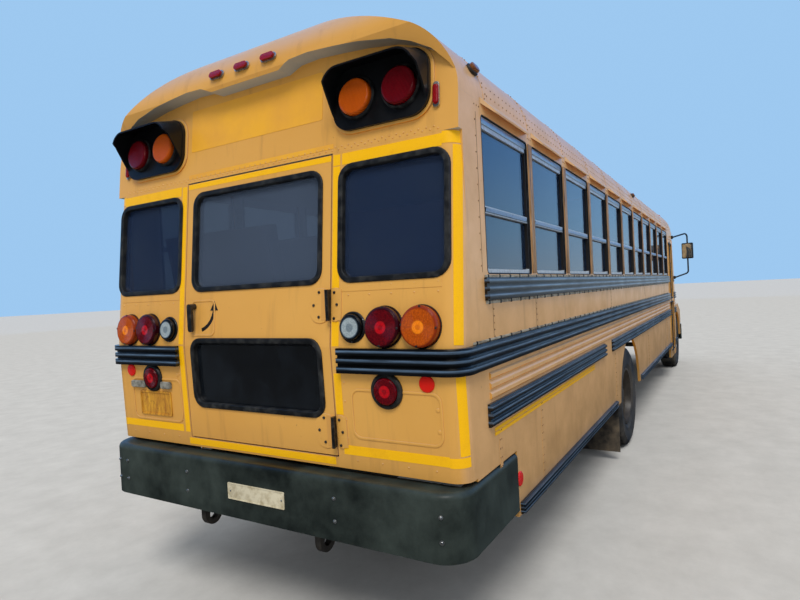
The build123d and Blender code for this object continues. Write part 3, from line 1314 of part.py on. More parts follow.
def main():
    save("roof", roof())
    save("rear_roof_cap", rear_roof_cap())
    save("front_roof_cap", front_roof_cap())
    save("left_wall", wall(1) + ridges(1) + stop_arm_base())
    save("right_wall", wall(-1) + ridges(-1))
    save("skirts", skirt(1), skirt(-1))
    save("rear_wall", rear_wall())
    save("cowl", cowl())
    save("floor", floor())
    save("floor_sills", *floor_sills())
    save("step_well", step_well())
    save("emergency_door", emergency_door())
    save("emergency_door_glass", *[pane(0, DOOR_WINDOW_WIDTH, foot, top) for foot, top in DOOR_WINDOWS])
    save("emergency_door_hardware", *emergency_door_hardware())
    spans = {1: window_spans(1), -1: window_spans(-1)}
    sashes = []
    panes = []
    brows = []
    for side, pairs in spans.items():
        for start, end in pairs:
            lip = window_brow(start, end)
            brows.append(lip if side > 0 else mirror(lip, Plane.XZ))
            window = [sash(start, end)]
            lights = sash_panes(start, end)
            if side < 0:
                window = [mirror(item, Plane.XZ) for item in window]
                lights = [mirror(item, Plane.XZ) for item in lights]
            sashes.extend(window)
            panes.extend(lights)
    save("window_sashes", *sashes)
    save("window_brows", *brows)
    for y in (-REAR_WINDOW_Y, REAR_WINDOW_Y):
        panes.append(pane(y, REAR_WINDOW_WIDTH, REAR_WINDOW_FOOT, REAR_WINDOW_TOP))
    save("side_glass", *panes)
    save("windshield", *windshield())
    bands = []
    for start, end, foot, top in SIDE_BANDS:
        for side in (1, -1):
            bands.extend(side_band(start, end, foot, top, side))
    bands.extend([rear_band(1), rear_band(-1)])
    save("rub_rails", *bands)
    save("lamp_pods", *[pod(side) for pod in (lamp_pod, front_pod) for side in (1, -1)])
    for colour, distance in (("red", WARNING_RED), ("amber", WARNING_AMBER)):
        warnings = [warning_lamp(side * distance) for side in (1, -1)]
        warnings += [front_warning_lamp(side * (distance - FRONT_LAMP_SHIFT)) for side in (1, -1)]
        save(f"{colour}_lamps", *lamp_set(colour), *warnings)
    save("clear_lamps", *lamp_set("clear"))
    save("rear_bumper", rear_bumper())
    save("front_bumper", front_bumper())
    save("frame_rails", *frame_rails())
    save("leaf_springs", *both_sides(leaf_spring(REAR_AXLE)), *both_sides(leaf_spring(FRONT_AXLE)))
    save("rear_axle", rear_axle())
    save("front_axle", front_axle())
    for side, name in ((1, "left"), (-1, "right")):
        save(f"knuckle_{name}", knuckle(side))
        save(f"front_tyre_{name}", tyre(FRONT_AXLE, side * FRONT_TRACK_HALF))
        front = front_rim()
        rear = rear_rims()
        save(f"front_rim_{name}", front if side > 0 else mirror(front, Plane.XZ))
        save(f"rear_rims_{name}", rear if side > 0 else mirror(rear, Plane.XZ))
        save(f"rear_tyres_{name}", tyre(REAR_AXLE, side * REAR_TRACK_HALF),
             tyre(REAR_AXLE, side * (REAR_TRACK_HALF - DUAL_SPACING)))
    save("engine_block", engine_block())
    save("driveline", driveline())
    save("fuel_tank", *fuel_tank())
    save("exhaust", exhaust())
    save("mud_flaps", *both_sides(mud_flap()))
    save("hood", hood())
    save("grille", grille())
    save("headlamps", headlamp(1), headlamp(-1))
    save("mirrors", mirror_unit(1), mirror_unit(-1))
    seats = []
    legs = []
    for row in range(BAYS):
        for side in (1, -1):
            seats.append(bench(REAR_POST + 260 + row * BAY, side))
            legs.extend(bench_legs(REAR_POST + 260 + row * BAY, side))
    save("passenger_seats", *seats)
    save("seat_legs", *legs)
    save("driver_seat", driver_seat())
    save("dashboard", dashboard())
    leaves = {
        # start, end, hinge
        "rear": (DOOR_REAR + DOOR_GAP, LEAF_MIDDLE - MEETING_GAP / 2, DOOR_REAR + DOOR_GAP),
        "front": (LEAF_MIDDLE + MEETING_GAP / 2, DOOR_FRONT - DOOR_GAP, DOOR_FRONT - DOOR_GAP),
    }
    for name, (start, end, hinge) in leaves.items():
        save(f"entry_door_{name}", leaf(start, end, hinge))
        save(f"entry_glass_{name}", *leaf_glass(start, end))
    save("stop_arm", stop_arm())
    for name, station in HATCHES.items():
        save(f"roof_hatch_{name}", hatch(station))


main()
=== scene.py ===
import contextlib
from math import asin, atan2, copysign, cos, degrees, hypot, pi, radians, sin

import bmesh
import bpy
from mathutils import Matrix, Vector


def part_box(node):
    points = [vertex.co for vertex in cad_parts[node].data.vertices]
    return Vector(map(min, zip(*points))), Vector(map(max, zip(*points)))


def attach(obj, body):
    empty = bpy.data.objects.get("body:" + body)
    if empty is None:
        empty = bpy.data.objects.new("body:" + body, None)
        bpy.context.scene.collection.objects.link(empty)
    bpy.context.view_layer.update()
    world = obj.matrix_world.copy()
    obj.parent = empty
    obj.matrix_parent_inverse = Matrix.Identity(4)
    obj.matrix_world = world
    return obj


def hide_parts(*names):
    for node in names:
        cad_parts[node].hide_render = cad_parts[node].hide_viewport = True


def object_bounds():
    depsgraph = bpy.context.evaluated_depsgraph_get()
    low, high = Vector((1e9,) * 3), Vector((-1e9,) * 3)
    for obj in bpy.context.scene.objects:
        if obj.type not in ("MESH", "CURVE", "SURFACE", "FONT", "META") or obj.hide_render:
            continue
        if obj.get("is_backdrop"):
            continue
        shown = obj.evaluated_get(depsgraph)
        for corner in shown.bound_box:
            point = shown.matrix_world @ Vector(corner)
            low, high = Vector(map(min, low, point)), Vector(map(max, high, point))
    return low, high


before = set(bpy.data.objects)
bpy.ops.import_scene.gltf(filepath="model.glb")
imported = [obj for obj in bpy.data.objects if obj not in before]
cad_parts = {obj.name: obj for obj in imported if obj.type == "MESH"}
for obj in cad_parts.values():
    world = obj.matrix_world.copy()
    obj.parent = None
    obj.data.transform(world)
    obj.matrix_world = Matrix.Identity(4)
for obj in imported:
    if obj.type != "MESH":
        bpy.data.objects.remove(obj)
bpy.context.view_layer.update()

# Camera, floor and light.
# The camera stands behind the kerb-side corner at a grown person's eye height; the floor is a pale sheet,
# and a pale sky with one broad soft lamp lights the bus evenly. Two dark cards show in reflections only.
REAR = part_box("rear_wall")[0].x
PICTURE_WIDTH, FOCAL_PIXELS, SENSOR = 800, 559.97, 36.0
EYE_BEHIND, EYE_ACROSS, EYE_HEIGHT = 2.1383, -2.2182, 1.780
EYE_HEADING, EYE_PITCH, EYE_ROLL = 30.88, -0.833, -2.787
SKY_LIGHT, SKY_SEEN = (0.86, 0.92, 1.0, 1.0), (0.34, 0.58, 0.87, 1.0)
HORIZON, LOW_SKY, HIGH_SKY = (0.46, 0.60, 0.72, 1.0), (0.30, 0.56, 0.86, 1.0), (0.12, 0.36, 0.86, 1.0)


def finish_of(name, **sockets):
    """A material whose constants sit on the shader's own sockets."""
    finish = bpy.data.materials.new(name)
    finish.use_nodes = True
    surface = finish.node_tree.nodes["Principled BSDF"]
    for socket, value in sockets.items():
        surface.inputs[socket.replace("_", " ")].default_value = value
    return finish


def node(finish, kind, inputs=None, **settings):
    """Adds a node; each input is a value or another node's output."""
    made = finish.node_tree.nodes.new("ShaderNode" + kind)
    for key, value in settings.items():
        setattr(made, key, value)
    for key, value in (inputs or {}).items():
        if isinstance(value, bpy.types.NodeSocket):
            finish.node_tree.links.new(value, made.inputs[key])
        else:
            made.inputs[key].default_value = value
    return made


def drive(finish, **sockets):
    """Links outputs to the shader's sockets."""
    surface = finish.node_tree.nodes["Principled BSDF"]
    for socket, value in sockets.items():
        finish.node_tree.links.new(value, surface.inputs[socket.replace("_", " ")])


def place_on(finish, scale=(1, 1, 1)):
    """The piece's own coordinates in metres, stretched along an axis."""
    where = node(finish, "TexCoord").outputs["Object"]
    return node(finish, "Mapping", {"Vector": where, "Scale": scale}).outputs["Vector"]


def axis_of(finish, vector, axis):
    return node(finish, "SeparateXYZ", {"Vector": vector}).outputs[axis]


def noise(finish, where, scale, detail=4.0, rough=0.6):
    made = node(finish, "TexNoise", {"Vector": where, "Scale": scale, "Detail": detail, "Roughness": rough})
    return made.outputs["Fac"]


def span(finish, value, low, high, to_low=0.0, to_high=1.0):
    """Maps a value from one span to another, held at the ends."""
    made = node(finish, "MapRange", {
        "Value": value, "From Min": low, "From Max": high, "To Min": to_low, "To Max": to_high})
    return made.outputs["Result"]


def seen(red, green, blue):
    """A colour as it shows, 0 to 255, in the linear values that a shader takes."""
    return tuple((c / 255 / 12.92 if c < 10.3 else ((c / 255 + 0.055) / 1.055) ** 2.4)
                 for c in (red, green, blue)) + (1.0,)


def mixed(finish, share, first, second):
    """Mixes two colours; each is a node's output or red, green and blue as they show."""
    first, second = (c if isinstance(c, bpy.types.NodeSocket) else seen(*c) for c in (first, second))
    return node(finish, "Mix", {0: share, 6: first, 7: second}, data_type="RGBA").outputs[2]


def maths(finish, operation, first, second=0.0):
    return node(finish, "Math", {0: first, 1: second}, operation=operation).outputs[0]


def relief(finish, height, strength, depth=0.01, under=None):
    """Bump from a height; under is another bump's normal that it lies on."""
    inputs = {"Height": height, "Strength": strength, "Distance": depth}
    if under is not None:
        inputs["Normal"] = under
    return node(finish, "Bump", inputs).outputs["Normal"]


def weathered(name, clean, worn, pattern, wear=(0.4, 0.7), gloss=None, bump=None, grain=None,
              stretch=(1, 1, 1), gloss_at=(0.3, 0.7), **sockets):
    """A finish that goes from its clean colour to its worn one in patches.

    pattern is the patches' noise, wear where they begin and where they are full, gloss the roughness
    from clean to worn over gloss_at, bump the patches' relief, and grain a finer noise with its relief.
    """
    finish = finish_of(name, **sockets)
    patches = noise(finish, place_on(finish, stretch), *pattern)
    drive(finish, Base_Color=mixed(finish, span(finish, patches, *wear), clean, worn))
    if gloss:
        drive(finish, Roughness=span(finish, patches, *gloss_at, *gloss))
    if bump:
        drive(finish, Normal=relief(finish, patches, *bump))
    if grain:
        drive(finish, Normal=relief(finish, noise(finish, place_on(finish), *grain[:3]), *grain[3:]))
    return finish


def deselect():
    bpy.ops.object.select_all(action="DESELECT")


def stage_sheet(name, size, finish, spot=(0, 0, 0), turn=(0, 0, 0), mirrored_only=False):
    """A square sheet that belongs to the stage."""
    deselect()
    bpy.ops.mesh.primitive_plane_add(size=size, location=spot, rotation=turn)
    card = bpy.context.object
    card.name = name
    card.data.materials.append(finish)
    if mirrored_only:
        card.visible_camera = False
        card.visible_diffuse = False
        card.visible_shadow = False
        card.visible_transmission = False
    card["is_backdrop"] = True


camera = bpy.data.objects.new("camera", bpy.data.cameras.new("camera"))
bpy.context.collection.objects.link(camera)
camera.data.sensor_width = SENSOR
camera.data.lens = SENSOR * FOCAL_PIXELS / PICTURE_WIDTH
camera.data.clip_end = 500.0
camera.matrix_world = (
    Matrix.Translation((REAR - EYE_BEHIND, EYE_ACROSS, EYE_HEIGHT))
    @ Matrix.Rotation(radians(EYE_HEADING - 90), 4, "Z")
    @ Matrix.Rotation(radians(90 + EYE_PITCH), 4, "X")
    @ Matrix.Rotation(radians(EYE_ROLL), 4, "Z"))
bpy.context.scene.camera = camera

world = bpy.data.worlds.new("pale_sky")
bpy.context.scene.world = world
world.use_nodes = True
sky_light = world.node_tree.nodes["Background"]
sky_light.inputs["Color"].default_value = SKY_LIGHT
sky_light.inputs["Strength"].default_value = 0.62
sky_seen = node(world, "Background", {"Color": SKY_SEEN, "Strength": 1.0})
rise = axis_of(world, node(world, "TexCoord").outputs["Generated"], "Z")
sky_shades = node(world, "ValToRGB", {0: rise})
low_stop, high_stop = sky_shades.color_ramp.elements
low_stop.color = HORIZON
high_stop.position = 0.30
high_stop.color = HIGH_SKY
sky_shades.color_ramp.elements.new(0.10).color = LOW_SKY
sky_mirrored = node(world, "Background", {"Color": sky_shades.outputs[0], "Strength": 1.2})
ray = node(world, "LightPath").outputs
straight = maths(world, "MAXIMUM", ray["Is Camera Ray"], ray["Is Transmission Ray"])
sky = node(world, "MixShader", {0: ray["Is Glossy Ray"], 1: sky_light.outputs[0], 2: sky_mirrored.outputs[0]})
sky = node(world, "MixShader", {0: straight, 1: sky.outputs[0], 2: sky_seen.outputs[0]})
world.node_tree.links.new(sky.outputs[0], world.node_tree.nodes["World Output"].inputs["Surface"])

stage_sheet("studio_floor", 400, weathered(
    "pale_floor", (196, 194, 190), (212, 210, 206), (3.0, 8.0, 0.7), (0.3, 0.7),
    Roughness=0.9, Specular_IOR_Level=0.2))
card_finish = weathered("dark_card", (40, 42, 44), (70, 72, 74), (0.1,), (0.0, 1.0),
                        Roughness=1.0, Specular_IOR_Level=0.0)
stage_sheet("dark_card", 60, card_finish, (REAR - 14, -6, 6), (0, radians(90), 0), True)
stage_sheet("dark_ground", 90, card_finish, (0, 0, 0.003), mirrored_only=True)

sun = bpy.data.objects.new("soft_sun", bpy.data.lights.new("soft_sun", "SUN"))
bpy.context.collection.objects.link(sun)
sun.data.energy = 1.9
sun.data.angle = radians(25)
sun.data.color = (1.0, 0.97, 0.92)
sun.rotation_euler = (radians(38), 0, radians(-62))
bpy.context.scene.view_settings.view_transform = "Standard"


# Chassis frame and running gear.
# Hot-rolled channel, forgings and castings bolted and riveted together, sprayed flat black and since
# gone grey-brown with road dust; the silencer and tail pipe are bare steel that has rusted.
def dress(finish, *names):
    """Gives CAD nodes a finish."""
    for name in names:
        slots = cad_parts[name].data.materials
        slots.clear()
        slots.append(finish)
    return finish


def over(finish, share, colour):
    """Lays a colour over the finish's present one."""
    base = finish.node_tree.nodes["Principled BSDF"].inputs["Base Color"]
    drive(finish, Base_Color=mixed(finish, share, base.links[0].from_socket, colour))


def black_enamel(name, shade, dust, amount, coat=0.1, shine=0.35):
    """Black enamel that greys with dust and shows rubbed places."""
    finish = finish_of(name, Specular_IOR_Level=shine, Coat_Weight=coat, Coat_Roughness=0.2)
    where = place_on(finish)
    film = noise(finish, where, 2.3, 6.0, 0.65)
    rubbed = noise(finish, place_on(finish, (1, 1, 6)), 14.0, 5.0, 0.7)
    share = maths(finish, "MULTIPLY", span(finish, film, 0.35, 0.75), amount)
    drive(finish, Base_Color=mixed(finish, share, shade, dust),
          Roughness=span(finish, film, 0.3, 0.7, 0.3, 0.55),
          Normal=relief(finish, noise(finish, where, 150.0, 3.0), 0.08, 0.001))
    over(finish, span(finish, rubbed, 0.68, 0.8, 0.0, 0.3), dust)
    return finish


chassis_black = black_enamel("chassis_black", (30, 30, 31), (88, 80, 70), 0.8)
dress(chassis_black, "frame_rails", "leaf_springs", "rear_axle", "front_axle", "knuckle_left",
      "knuckle_right", "driveline", "fuel_tank", "floor_sills")
dress(weathered("cast_iron", (92, 92, 90), (48, 44, 40), (5.0, 4.0, 0.6), (0.4, 0.65), (0.72, 0.45),
                grain=(60.0, 6.0, 0.7, 0.35, 0.002), Metallic=0.25, Specular_IOR_Level=0.35), "engine_block")
dress(weathered("rusty_pipe", (128, 122, 114), (112, 68, 40), (9.0, 7.0, 0.7), (0.4, 0.62), (0.42, 0.85),
                (0.25, 0.003), gloss_at=(0.35, 0.65), Metallic=0.55), "exhaust")


# Wheels and tyres.
# Pressed-steel discs painted black, held by ten studs with hexagon nuts, and ribbed highway tyres of
# moulded rubber with four grooves, notched shoulders and moulded rings round each sidewall.
def facing(point, outward, upward=(0, 0, 1)):
    """A frame at a point whose own Z looks outward and whose own Y looks up."""
    outward = Vector(outward).normalized()
    across = Vector(upward).cross(outward).normalized()
    turn = Matrix((across, outward.cross(across), outward)).transposed().to_4x4()
    return Matrix.Translation(Vector(point)) @ turn


def activate(piece):
    deselect()
    piece.select_set(True)
    bpy.context.view_layer.objects.active = piece


@contextlib.contextmanager
def editing():
    """Edit mode on the active piece, with all of it selected."""
    bpy.ops.object.mode_set(mode="EDIT")
    bpy.ops.mesh.select_mode(type="VERT")
    bpy.ops.mesh.select_all(action="SELECT")
    yield
    bpy.ops.object.mode_set(mode="OBJECT")


def seal():
    """Merges doubles and turns every face outwards, in edit mode."""
    bpy.ops.mesh.select_all(action="SELECT")
    bpy.ops.mesh.remove_doubles(threshold=1e-5)
    bpy.ops.mesh.normals_make_consistent(inside=False)


def turned(profile, sides, solid=True):
    """A disc, or an open ring that closes on itself, drawn along (radius, height) pairs about its own Z."""
    deselect()
    radius, height = profile[0]
    fill = "NGON" if solid else "NOTHING"
    bpy.ops.mesh.primitive_circle_add(vertices=sides, radius=radius, fill_type=fill)
    with editing():
        bpy.ops.transform.translate(value=(0, 0, height))
        for after, level in profile[1:]:
            bpy.ops.mesh.extrude_region_move(TRANSFORM_OT_translate={"value": (0, 0, level - height)})
            bpy.ops.transform.resize(value=(after / radius, after / radius, 1))
            radius, height = after, level
        seal()
    return bpy.context.object


def pick(piece, kind, test):
    """Selects the faces or vertices whose middle passes a test, in edit mode."""
    bpy.ops.mesh.select_mode(type=kind)
    bpy.ops.mesh.select_all(action="DESELECT")
    form = bmesh.from_edit_mesh(piece.data)
    for item in (form.faces if kind == "FACE" else form.verts):
        item.select_set(bool(test(item.calc_center_median() if kind == "FACE" else item.co)))
    form.select_flush_mode()
    bmesh.update_edit_mesh(piece.data)


def copies(piece, places, keep=False):
    """Copies of a piece, each with its own mesh, one at each place; keep spares the pattern."""
    made = []
    for place in places:
        twin = piece.copy()
        twin.data = piece.data.copy()
        twin.matrix_world = place
        bpy.context.collection.objects.link(twin)
        made.append(twin)
    if not keep:
        bpy.data.objects.remove(piece)
    return made


def join(parts):
    activate(parts[0])
    for part in parts:
        part.select_set(True)
    bpy.ops.object.join()
    return parts[0]


def fix(piece):
    """Makes the piece's place a part of its mesh."""
    activate(piece)
    bpy.ops.object.transform_apply(location=True, rotation=True, scale=True)
    return piece


def settle(parts, name, finish, body="bus", smooth=35):
    """Joins and finishes a piece: its shading, name, material and the body that carries it."""
    piece = fix(join(parts))
    bpy.ops.object.shade_smooth_by_angle(angle=radians(smooth))
    piece.name = name
    piece.data.name = name
    piece.data.materials.clear()
    piece.data.materials.append(finish)
    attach(piece, body)
    return piece


TYRE_HALF, TYRE_SIDES = 0.140, 90
TREAD_EDGE, TREAD_RADIUS, TREAD_CROWN = 0.104, 0.525, 0.0012
GROOVES = (0.066, 0.022)
GROOVE_HALF, GROOVE_FLOOR, GROOVE_DEEP = 0.0055, 0.0033, 0.011
SHOULDER_RADIUS, NOTCH_INNER, NOTCH_OUTER, NOTCH_DEEP = 0.516, 0.0725, 0.108, 0.007
BEAD = [(0.284, -0.090), (0.284, 0.090)]
SIDEWALL = [
    # radius and distance from the tyre's middle plane, from the bead out to the shoulder
    (0.288, 0.098), (0.296, 0.106), (0.318, 0.117), (0.345, 0.127), (0.352, 0.1305), (0.358, 0.1285),
    (0.400, 0.1375), (0.440, 0.1395), (0.466, 0.1375), (0.472, 0.1385), (0.478, 0.1335), (0.500, 0.125),
    (0.5135, 0.115), (0.520, 0.109),
]
tread = [(TREAD_RADIUS - 0.002, TREAD_EDGE)]
for groove in GROOVES:
    crown = TREAD_RADIUS - TREAD_CROWN * (groove / GROOVES[0])
    tread += [(crown, groove + GROOVE_HALF), (crown - GROOVE_DEEP, groove + GROOVE_FLOOR),
              (crown - GROOVE_DEEP, groove - GROOVE_FLOOR), (crown, groove - GROOVE_HALF)]
half = SIDEWALL + tread
outline = half + [(radius, -height) for radius, height in half[::-1]] + BEAD + half[:1]
tyre = turned(outline, TYRE_SIDES, solid=False)
with editing():
    pick(tyre, "FACE", lambda c: c.xy.length > SHOULDER_RADIUS and NOTCH_INNER < abs(c.z) < NOTCH_OUTER
         and int((atan2(c.y, c.x) + pi) / (2 * pi) * TYRE_SIDES + 0.01) % 2 == 0)
    bpy.ops.mesh.inset(thickness=NOTCH_DEEP / 2, depth=-NOTCH_DEEP, use_individual=True)

rubber = weathered("tyre_rubber", (34, 34, 35), (84, 78, 70), (4.0, 6.0, 0.65), (0.38, 0.7), (0.62, 0.86),
                   grain=(220.0, 4.0, 0.6, 0.2, 0.001), Specular_IOR_Level=0.3)
for node_name, body in (("front_tyre", "wheel_front"), ("rear_tyres", "wheels_rear")):
    for hand in ("left", "right"):
        low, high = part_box(f"{node_name}_{hand}")
        middle = (low + high) / 2
        across = [middle.y] if body == "wheel_front" else [low.y + TYRE_HALF, high.y - TYRE_HALF]
        pair = copies(tyre, [facing((middle.x, y, middle.z), (0, 1, 0)) for y in across], keep=True)
        shown = settle(pair, f"{node_name}_{hand}".replace("tyre", "road_tyre"), rubber,
                       f"{body}_{hand}")
        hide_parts(f"{node_name}_{hand}")
bpy.data.objects.remove(tyre)
dress(black_enamel("wheel_black", (36, 36, 38), (112, 100, 84), 0.75, 0.15),
      "front_rim_left", "front_rim_right", "rear_rims_left", "rear_rims_right")

# Floor and entry steps.
# Steel sheet undersealed below and covered with black ribbed rubber in the cabin and on each tread,
# glued down and scuffed grey along the aisle.
floor_rubber = weathered("floor_rubber", (38, 38, 39), (92, 84, 74), (3.0, 6.0, 0.65), gloss=(0.5, 0.8),
                         Specular_IOR_Level=0.4)
tread_lines = node(floor_rubber, "TexWave", {"Vector": place_on(floor_rubber), "Scale": 20.0,
                                             "Distortion": 0.0}, bands_direction="Y").outputs["Fac"]
drive(floor_rubber, Normal=relief(floor_rubber, tread_lines, 0.5, 0.003))
dress(floor_rubber, "floor", "step_well")

# Body panels.
# The shell is pressed steel sheet riveted to bows and posts, sprayed with yellow enamel that years of
# sun have faded to tan on the sides, and lined with pale board inside. The sides' tan is that fading and
# painted shade together; faces turned up are painted lighter as if lit by the sky, the roof's shoulders
# duller, and faces turned down a deep orange, painted shade under overhangs.
CABIN_MIDDLE = 1.9
PANEL_NODES = {
    # node: how much of each axis tells the lining from the outside
    "roof": (0, 1, 1), "rear_roof_cap": (1, 1, 1), "front_roof_cap": (0.3, 1, 1), "left_wall": (0, 1, 0),
    "right_wall": (0, 1, 0), "skirts": (0, 1, 0), "rear_wall": (1, 0, 0), "cowl": (1, 0, 0),
    "emergency_door": (1, 0, 0), "entry_door_rear": (0, 1, 0), "entry_door_front": (0, 1, 0),
    "hood": None, "window_brows": None,
}


def enamel(name, lining=None):
    """Faded yellow enamel with painted light and shade by facing; lining names the axes that tell the pale
    inner face from the outer one.
    """
    finish = finish_of(name, Coat_Weight=0.2, Coat_Roughness=0.14, Specular_IOR_Level=0.4)
    where = place_on(finish)
    clouds = noise(finish, where, 0.7, 5.0, 0.55)
    patches = noise(finish, where, 3.2, 6.0, 0.62)
    yellow = mixed(finish, span(finish, clouds, 0.35, 0.68), (226, 168, 80), (219, 159, 72))
    bleached_and_shaded = mixed(finish, span(finish, patches, 0.35, 0.7), (228, 179, 122), (210, 162, 106))
    normal = node(finish, "NewGeometry").outputs["Normal"]
    looking = node(finish, "SeparateXYZ", {"Vector": normal}).outputs
    # Painted shade on the sides: faces turned sideways take a tan that is sun fading and the side's shade
    # together.
    sideways = span(finish, maths(finish, "ABSOLUTE", looking["Y"]), 0.45, 0.85)
    drive(finish, Base_Color=mixed(finish, sideways, yellow, bleached_and_shaded))
    # Painted light: shoulders turned part way up are duller, and faces turned up lighter as if lit by the
    # sky.
    over(finish, span(finish, looking["Z"], 0.15, 0.5, 0.0, 0.7), (196, 160, 124))
    over(finish, span(finish, looking["Z"], 0.6, 0.95), (214, 184, 140))
    # Painted shade: faces turned down take a deep orange, the colour of shade under overhangs.
    over(finish, span(finish, looking["Z"], -0.3, -0.8), (236, 146, 22))
    low = span(finish, axis_of(finish, where, "Z"), 1.15, 0.5)
    over(finish, maths(finish, "MULTIPLY", low, span(finish, patches, 0.3, 0.7, 0.35, 0.9)), (150, 114, 66))
    streaks = noise(finish, place_on(finish, (9.0, 9.0, 0.8)), 1.6, 5.0, 0.6)
    over(finish, span(finish, streaks, 0.56, 0.8, 0.0, 0.38), (150, 106, 58))
    specks = noise(finish, where, 38.0, 3.0, 0.7)
    over(finish, span(finish, specks, 0.7, 0.78, 0.0, 0.6), (112, 70, 38))
    if lining is not None:
        spot = node(finish, "VectorMath", {0: where, 1: (0, 0, -CABIN_MIDDLE)}, operation="ADD").outputs[0]
        spot = node(finish, "VectorMath", {0: spot, 1: lining}, operation="MULTIPLY").outputs[0]
        inward = node(finish, "VectorMath", {0: spot, 1: normal}, operation="DOT_PRODUCT").outputs["Value"]
        over(finish, span(finish, inward, 0.0, -0.02), (176, 178, 172))
    dents = relief(finish, noise(finish, where, 1.7, 2.0, 0.4), 0.22, 0.05)
    drive(finish, Roughness=span(finish, patches, 0.3, 0.7, 0.34, 0.52),
          Normal=relief(finish, noise(finish, where, 320.0, 2.0, 0.5), 0.05, 0.001, dents))
    return finish


for panel, axes in PANEL_NODES.items():
    dress(enamel(f"enamel_{panel}", axes), panel)
trim_enamel = enamel("trim_enamel")

# Roof joints.
# The roof sheets lap over each bow and are riveted through it in pairs of rows; two more rows hold the
# sheets to the eave rail above the windows.
SIDE = -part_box("rear_wall")[0].y
EAVE, EAVE_ROUND = 2.655, 0.350
CROWN_CENTRE, CROWN_ROUND = 0.962, 2.253
EAVE_TURN = radians(62.83)
EAVE_RUN, CROWN_RUN = EAVE_ROUND * EAVE_TURN, CROWN_ROUND * (pi - 2 * EAVE_TURN)
ARCH_RUN = 2 * EAVE_RUN + CROWN_RUN
REAR_POST, BAY, BAYS = 0.305, 0.772, 11
POSTS = [REAR_POST + BAY * k for k in range(BAYS + 1)]
ROOF_START, ROOF_END = 0.420, 9.267
LAP_WIDTH, LAP_THICK = 0.034, 0.0014
BOWS = [ROOF_START] + POSTS[1:] + [ROOF_END]
BOW_STEP, BOW_SHIFT, EAVE_STEP, ROW_END = 0.058, 0.010, 0.056, 0.03
EAVE_ROWS = ((0.055, 0.0), (0.105, 0.028))  # distance up the arch and stagger of each row


def on_roof(station, along, out=0.0):
    """A frame on the roof, so far along its arch from the kerb-side eave."""
    across, height, radius = 0, EAVE, EAVE_ROUND
    if along < EAVE_RUN:
        turn, across = along / EAVE_ROUND, EAVE_ROUND - SIDE
    elif along < EAVE_RUN + CROWN_RUN:
        turn, height, radius = EAVE_TURN + (along - EAVE_RUN) / CROWN_ROUND, CROWN_CENTRE, CROWN_ROUND
    else:
        turn, across = pi - (ARCH_RUN - along) / EAVE_ROUND, SIDE - EAVE_ROUND
    outward = Vector((0, -cos(turn), sin(turn)))
    point = Vector((REAR + station, across, height)) + outward * (radius + out)
    return facing(point, outward, (0, sin(turn), cos(turn)))


def apply(piece, kind, **settings):
    """Adds a modifier and applies it at once."""
    made = piece.modifiers.new("shape", kind)
    for key, value in settings.items():
        setattr(made, key, value)
    activate(piece)
    bpy.ops.object.modifier_apply(modifier=made.name)
    return piece


def row(piece, count, step):
    """A straight row of a piece."""
    return apply(piece, "ARRAY", count=count, use_relative_offset=False, use_constant_offset=True,
                 constant_offset_displace=step)


def rivet(radius=0.0042, height=0.0026, sides=8):
    return turned([(radius, -0.001), (radius, 0.35 * height), (0.55 * radius, height)], sides)


def arch_strip(station, width, thick):
    """A strip of sheet bent over the roof from eave to eave."""
    deselect()
    bpy.ops.mesh.primitive_plane_add(size=1, location=(REAR + station, -SIDE, EAVE - 0.01),
                                     rotation=(radians(90), 0, 0))
    strip = bpy.context.object
    strip.scale = (width, 0.02, 1)
    fix(strip)
    with editing():
        pick(strip, "VERT", lambda c: c.z > EAVE - 0.001)
        for steps, turn, across, height in ((8, EAVE_TURN, EAVE_ROUND - SIDE, EAVE),
                                            (16, pi - 2 * EAVE_TURN, 0, CROWN_CENTRE),
                                            (8, EAVE_TURN, SIDE - EAVE_ROUND, EAVE)):
            centre = (REAR + station, across, height)
            bpy.ops.mesh.spin(steps=steps, angle=turn, center=centre, axis=(1, 0, 0))
        seal()
    return apply(strip, "SOLIDIFY", thickness=thick, offset=1.0)


rivet_brown = weathered("rivet_brown", (176, 132, 88), (92, 62, 42), (30.0, 5.0, 0.7), (0.4, 0.62),
                        (0.45, 0.7), Specular_IOR_Level=0.35)
settle([arch_strip(station, LAP_WIDTH, LAP_THICK) for station in BOWS],
       "roof_laps", trim_enamel)
bow_rivets = [on_roof(station + shift, ROW_END + BOW_STEP * k + (BOW_STEP / 2 if shift > 0 else 0), LAP_THICK)
              for station in BOWS for shift in (-BOW_SHIFT, BOW_SHIFT)
              for k in range(int((ARCH_RUN - 2 * ROW_END) / BOW_STEP))]
settle(copies(rivet(sides=6), bow_rivets), "roof_rivets", rivet_brown)
eave_rows = [on_roof(ROOF_START + ROW_END + shift, side_along)
             for along, shift in EAVE_ROWS for side_along in (along, ARCH_RUN - along)]
eave_rivets = row(rivet(sides=6), int((ROOF_END - ROOF_START - 2 * ROW_END) / EAVE_STEP), (EAVE_STEP, 0, 0))
settle(copies(eave_rivets, eave_rows), "eave_rivets", rivet_brown)


# Side panel joints.
# Skirt sheets lap at the body's own intervals and are riveted along each lap; the sheets between the
# rails meet in dark seams, and pressed covers in browner enamel close the posts between the windows.
def on_side(station, height, side, out=0.0):
    """A frame on a side wall, looking outward: side is -1 at the kerb and 1 at the road."""
    return facing((REAR + station, side * (SIDE + out), height), (0, side, 0))


def put(piece, place):
    piece.matrix_world = place
    return piece


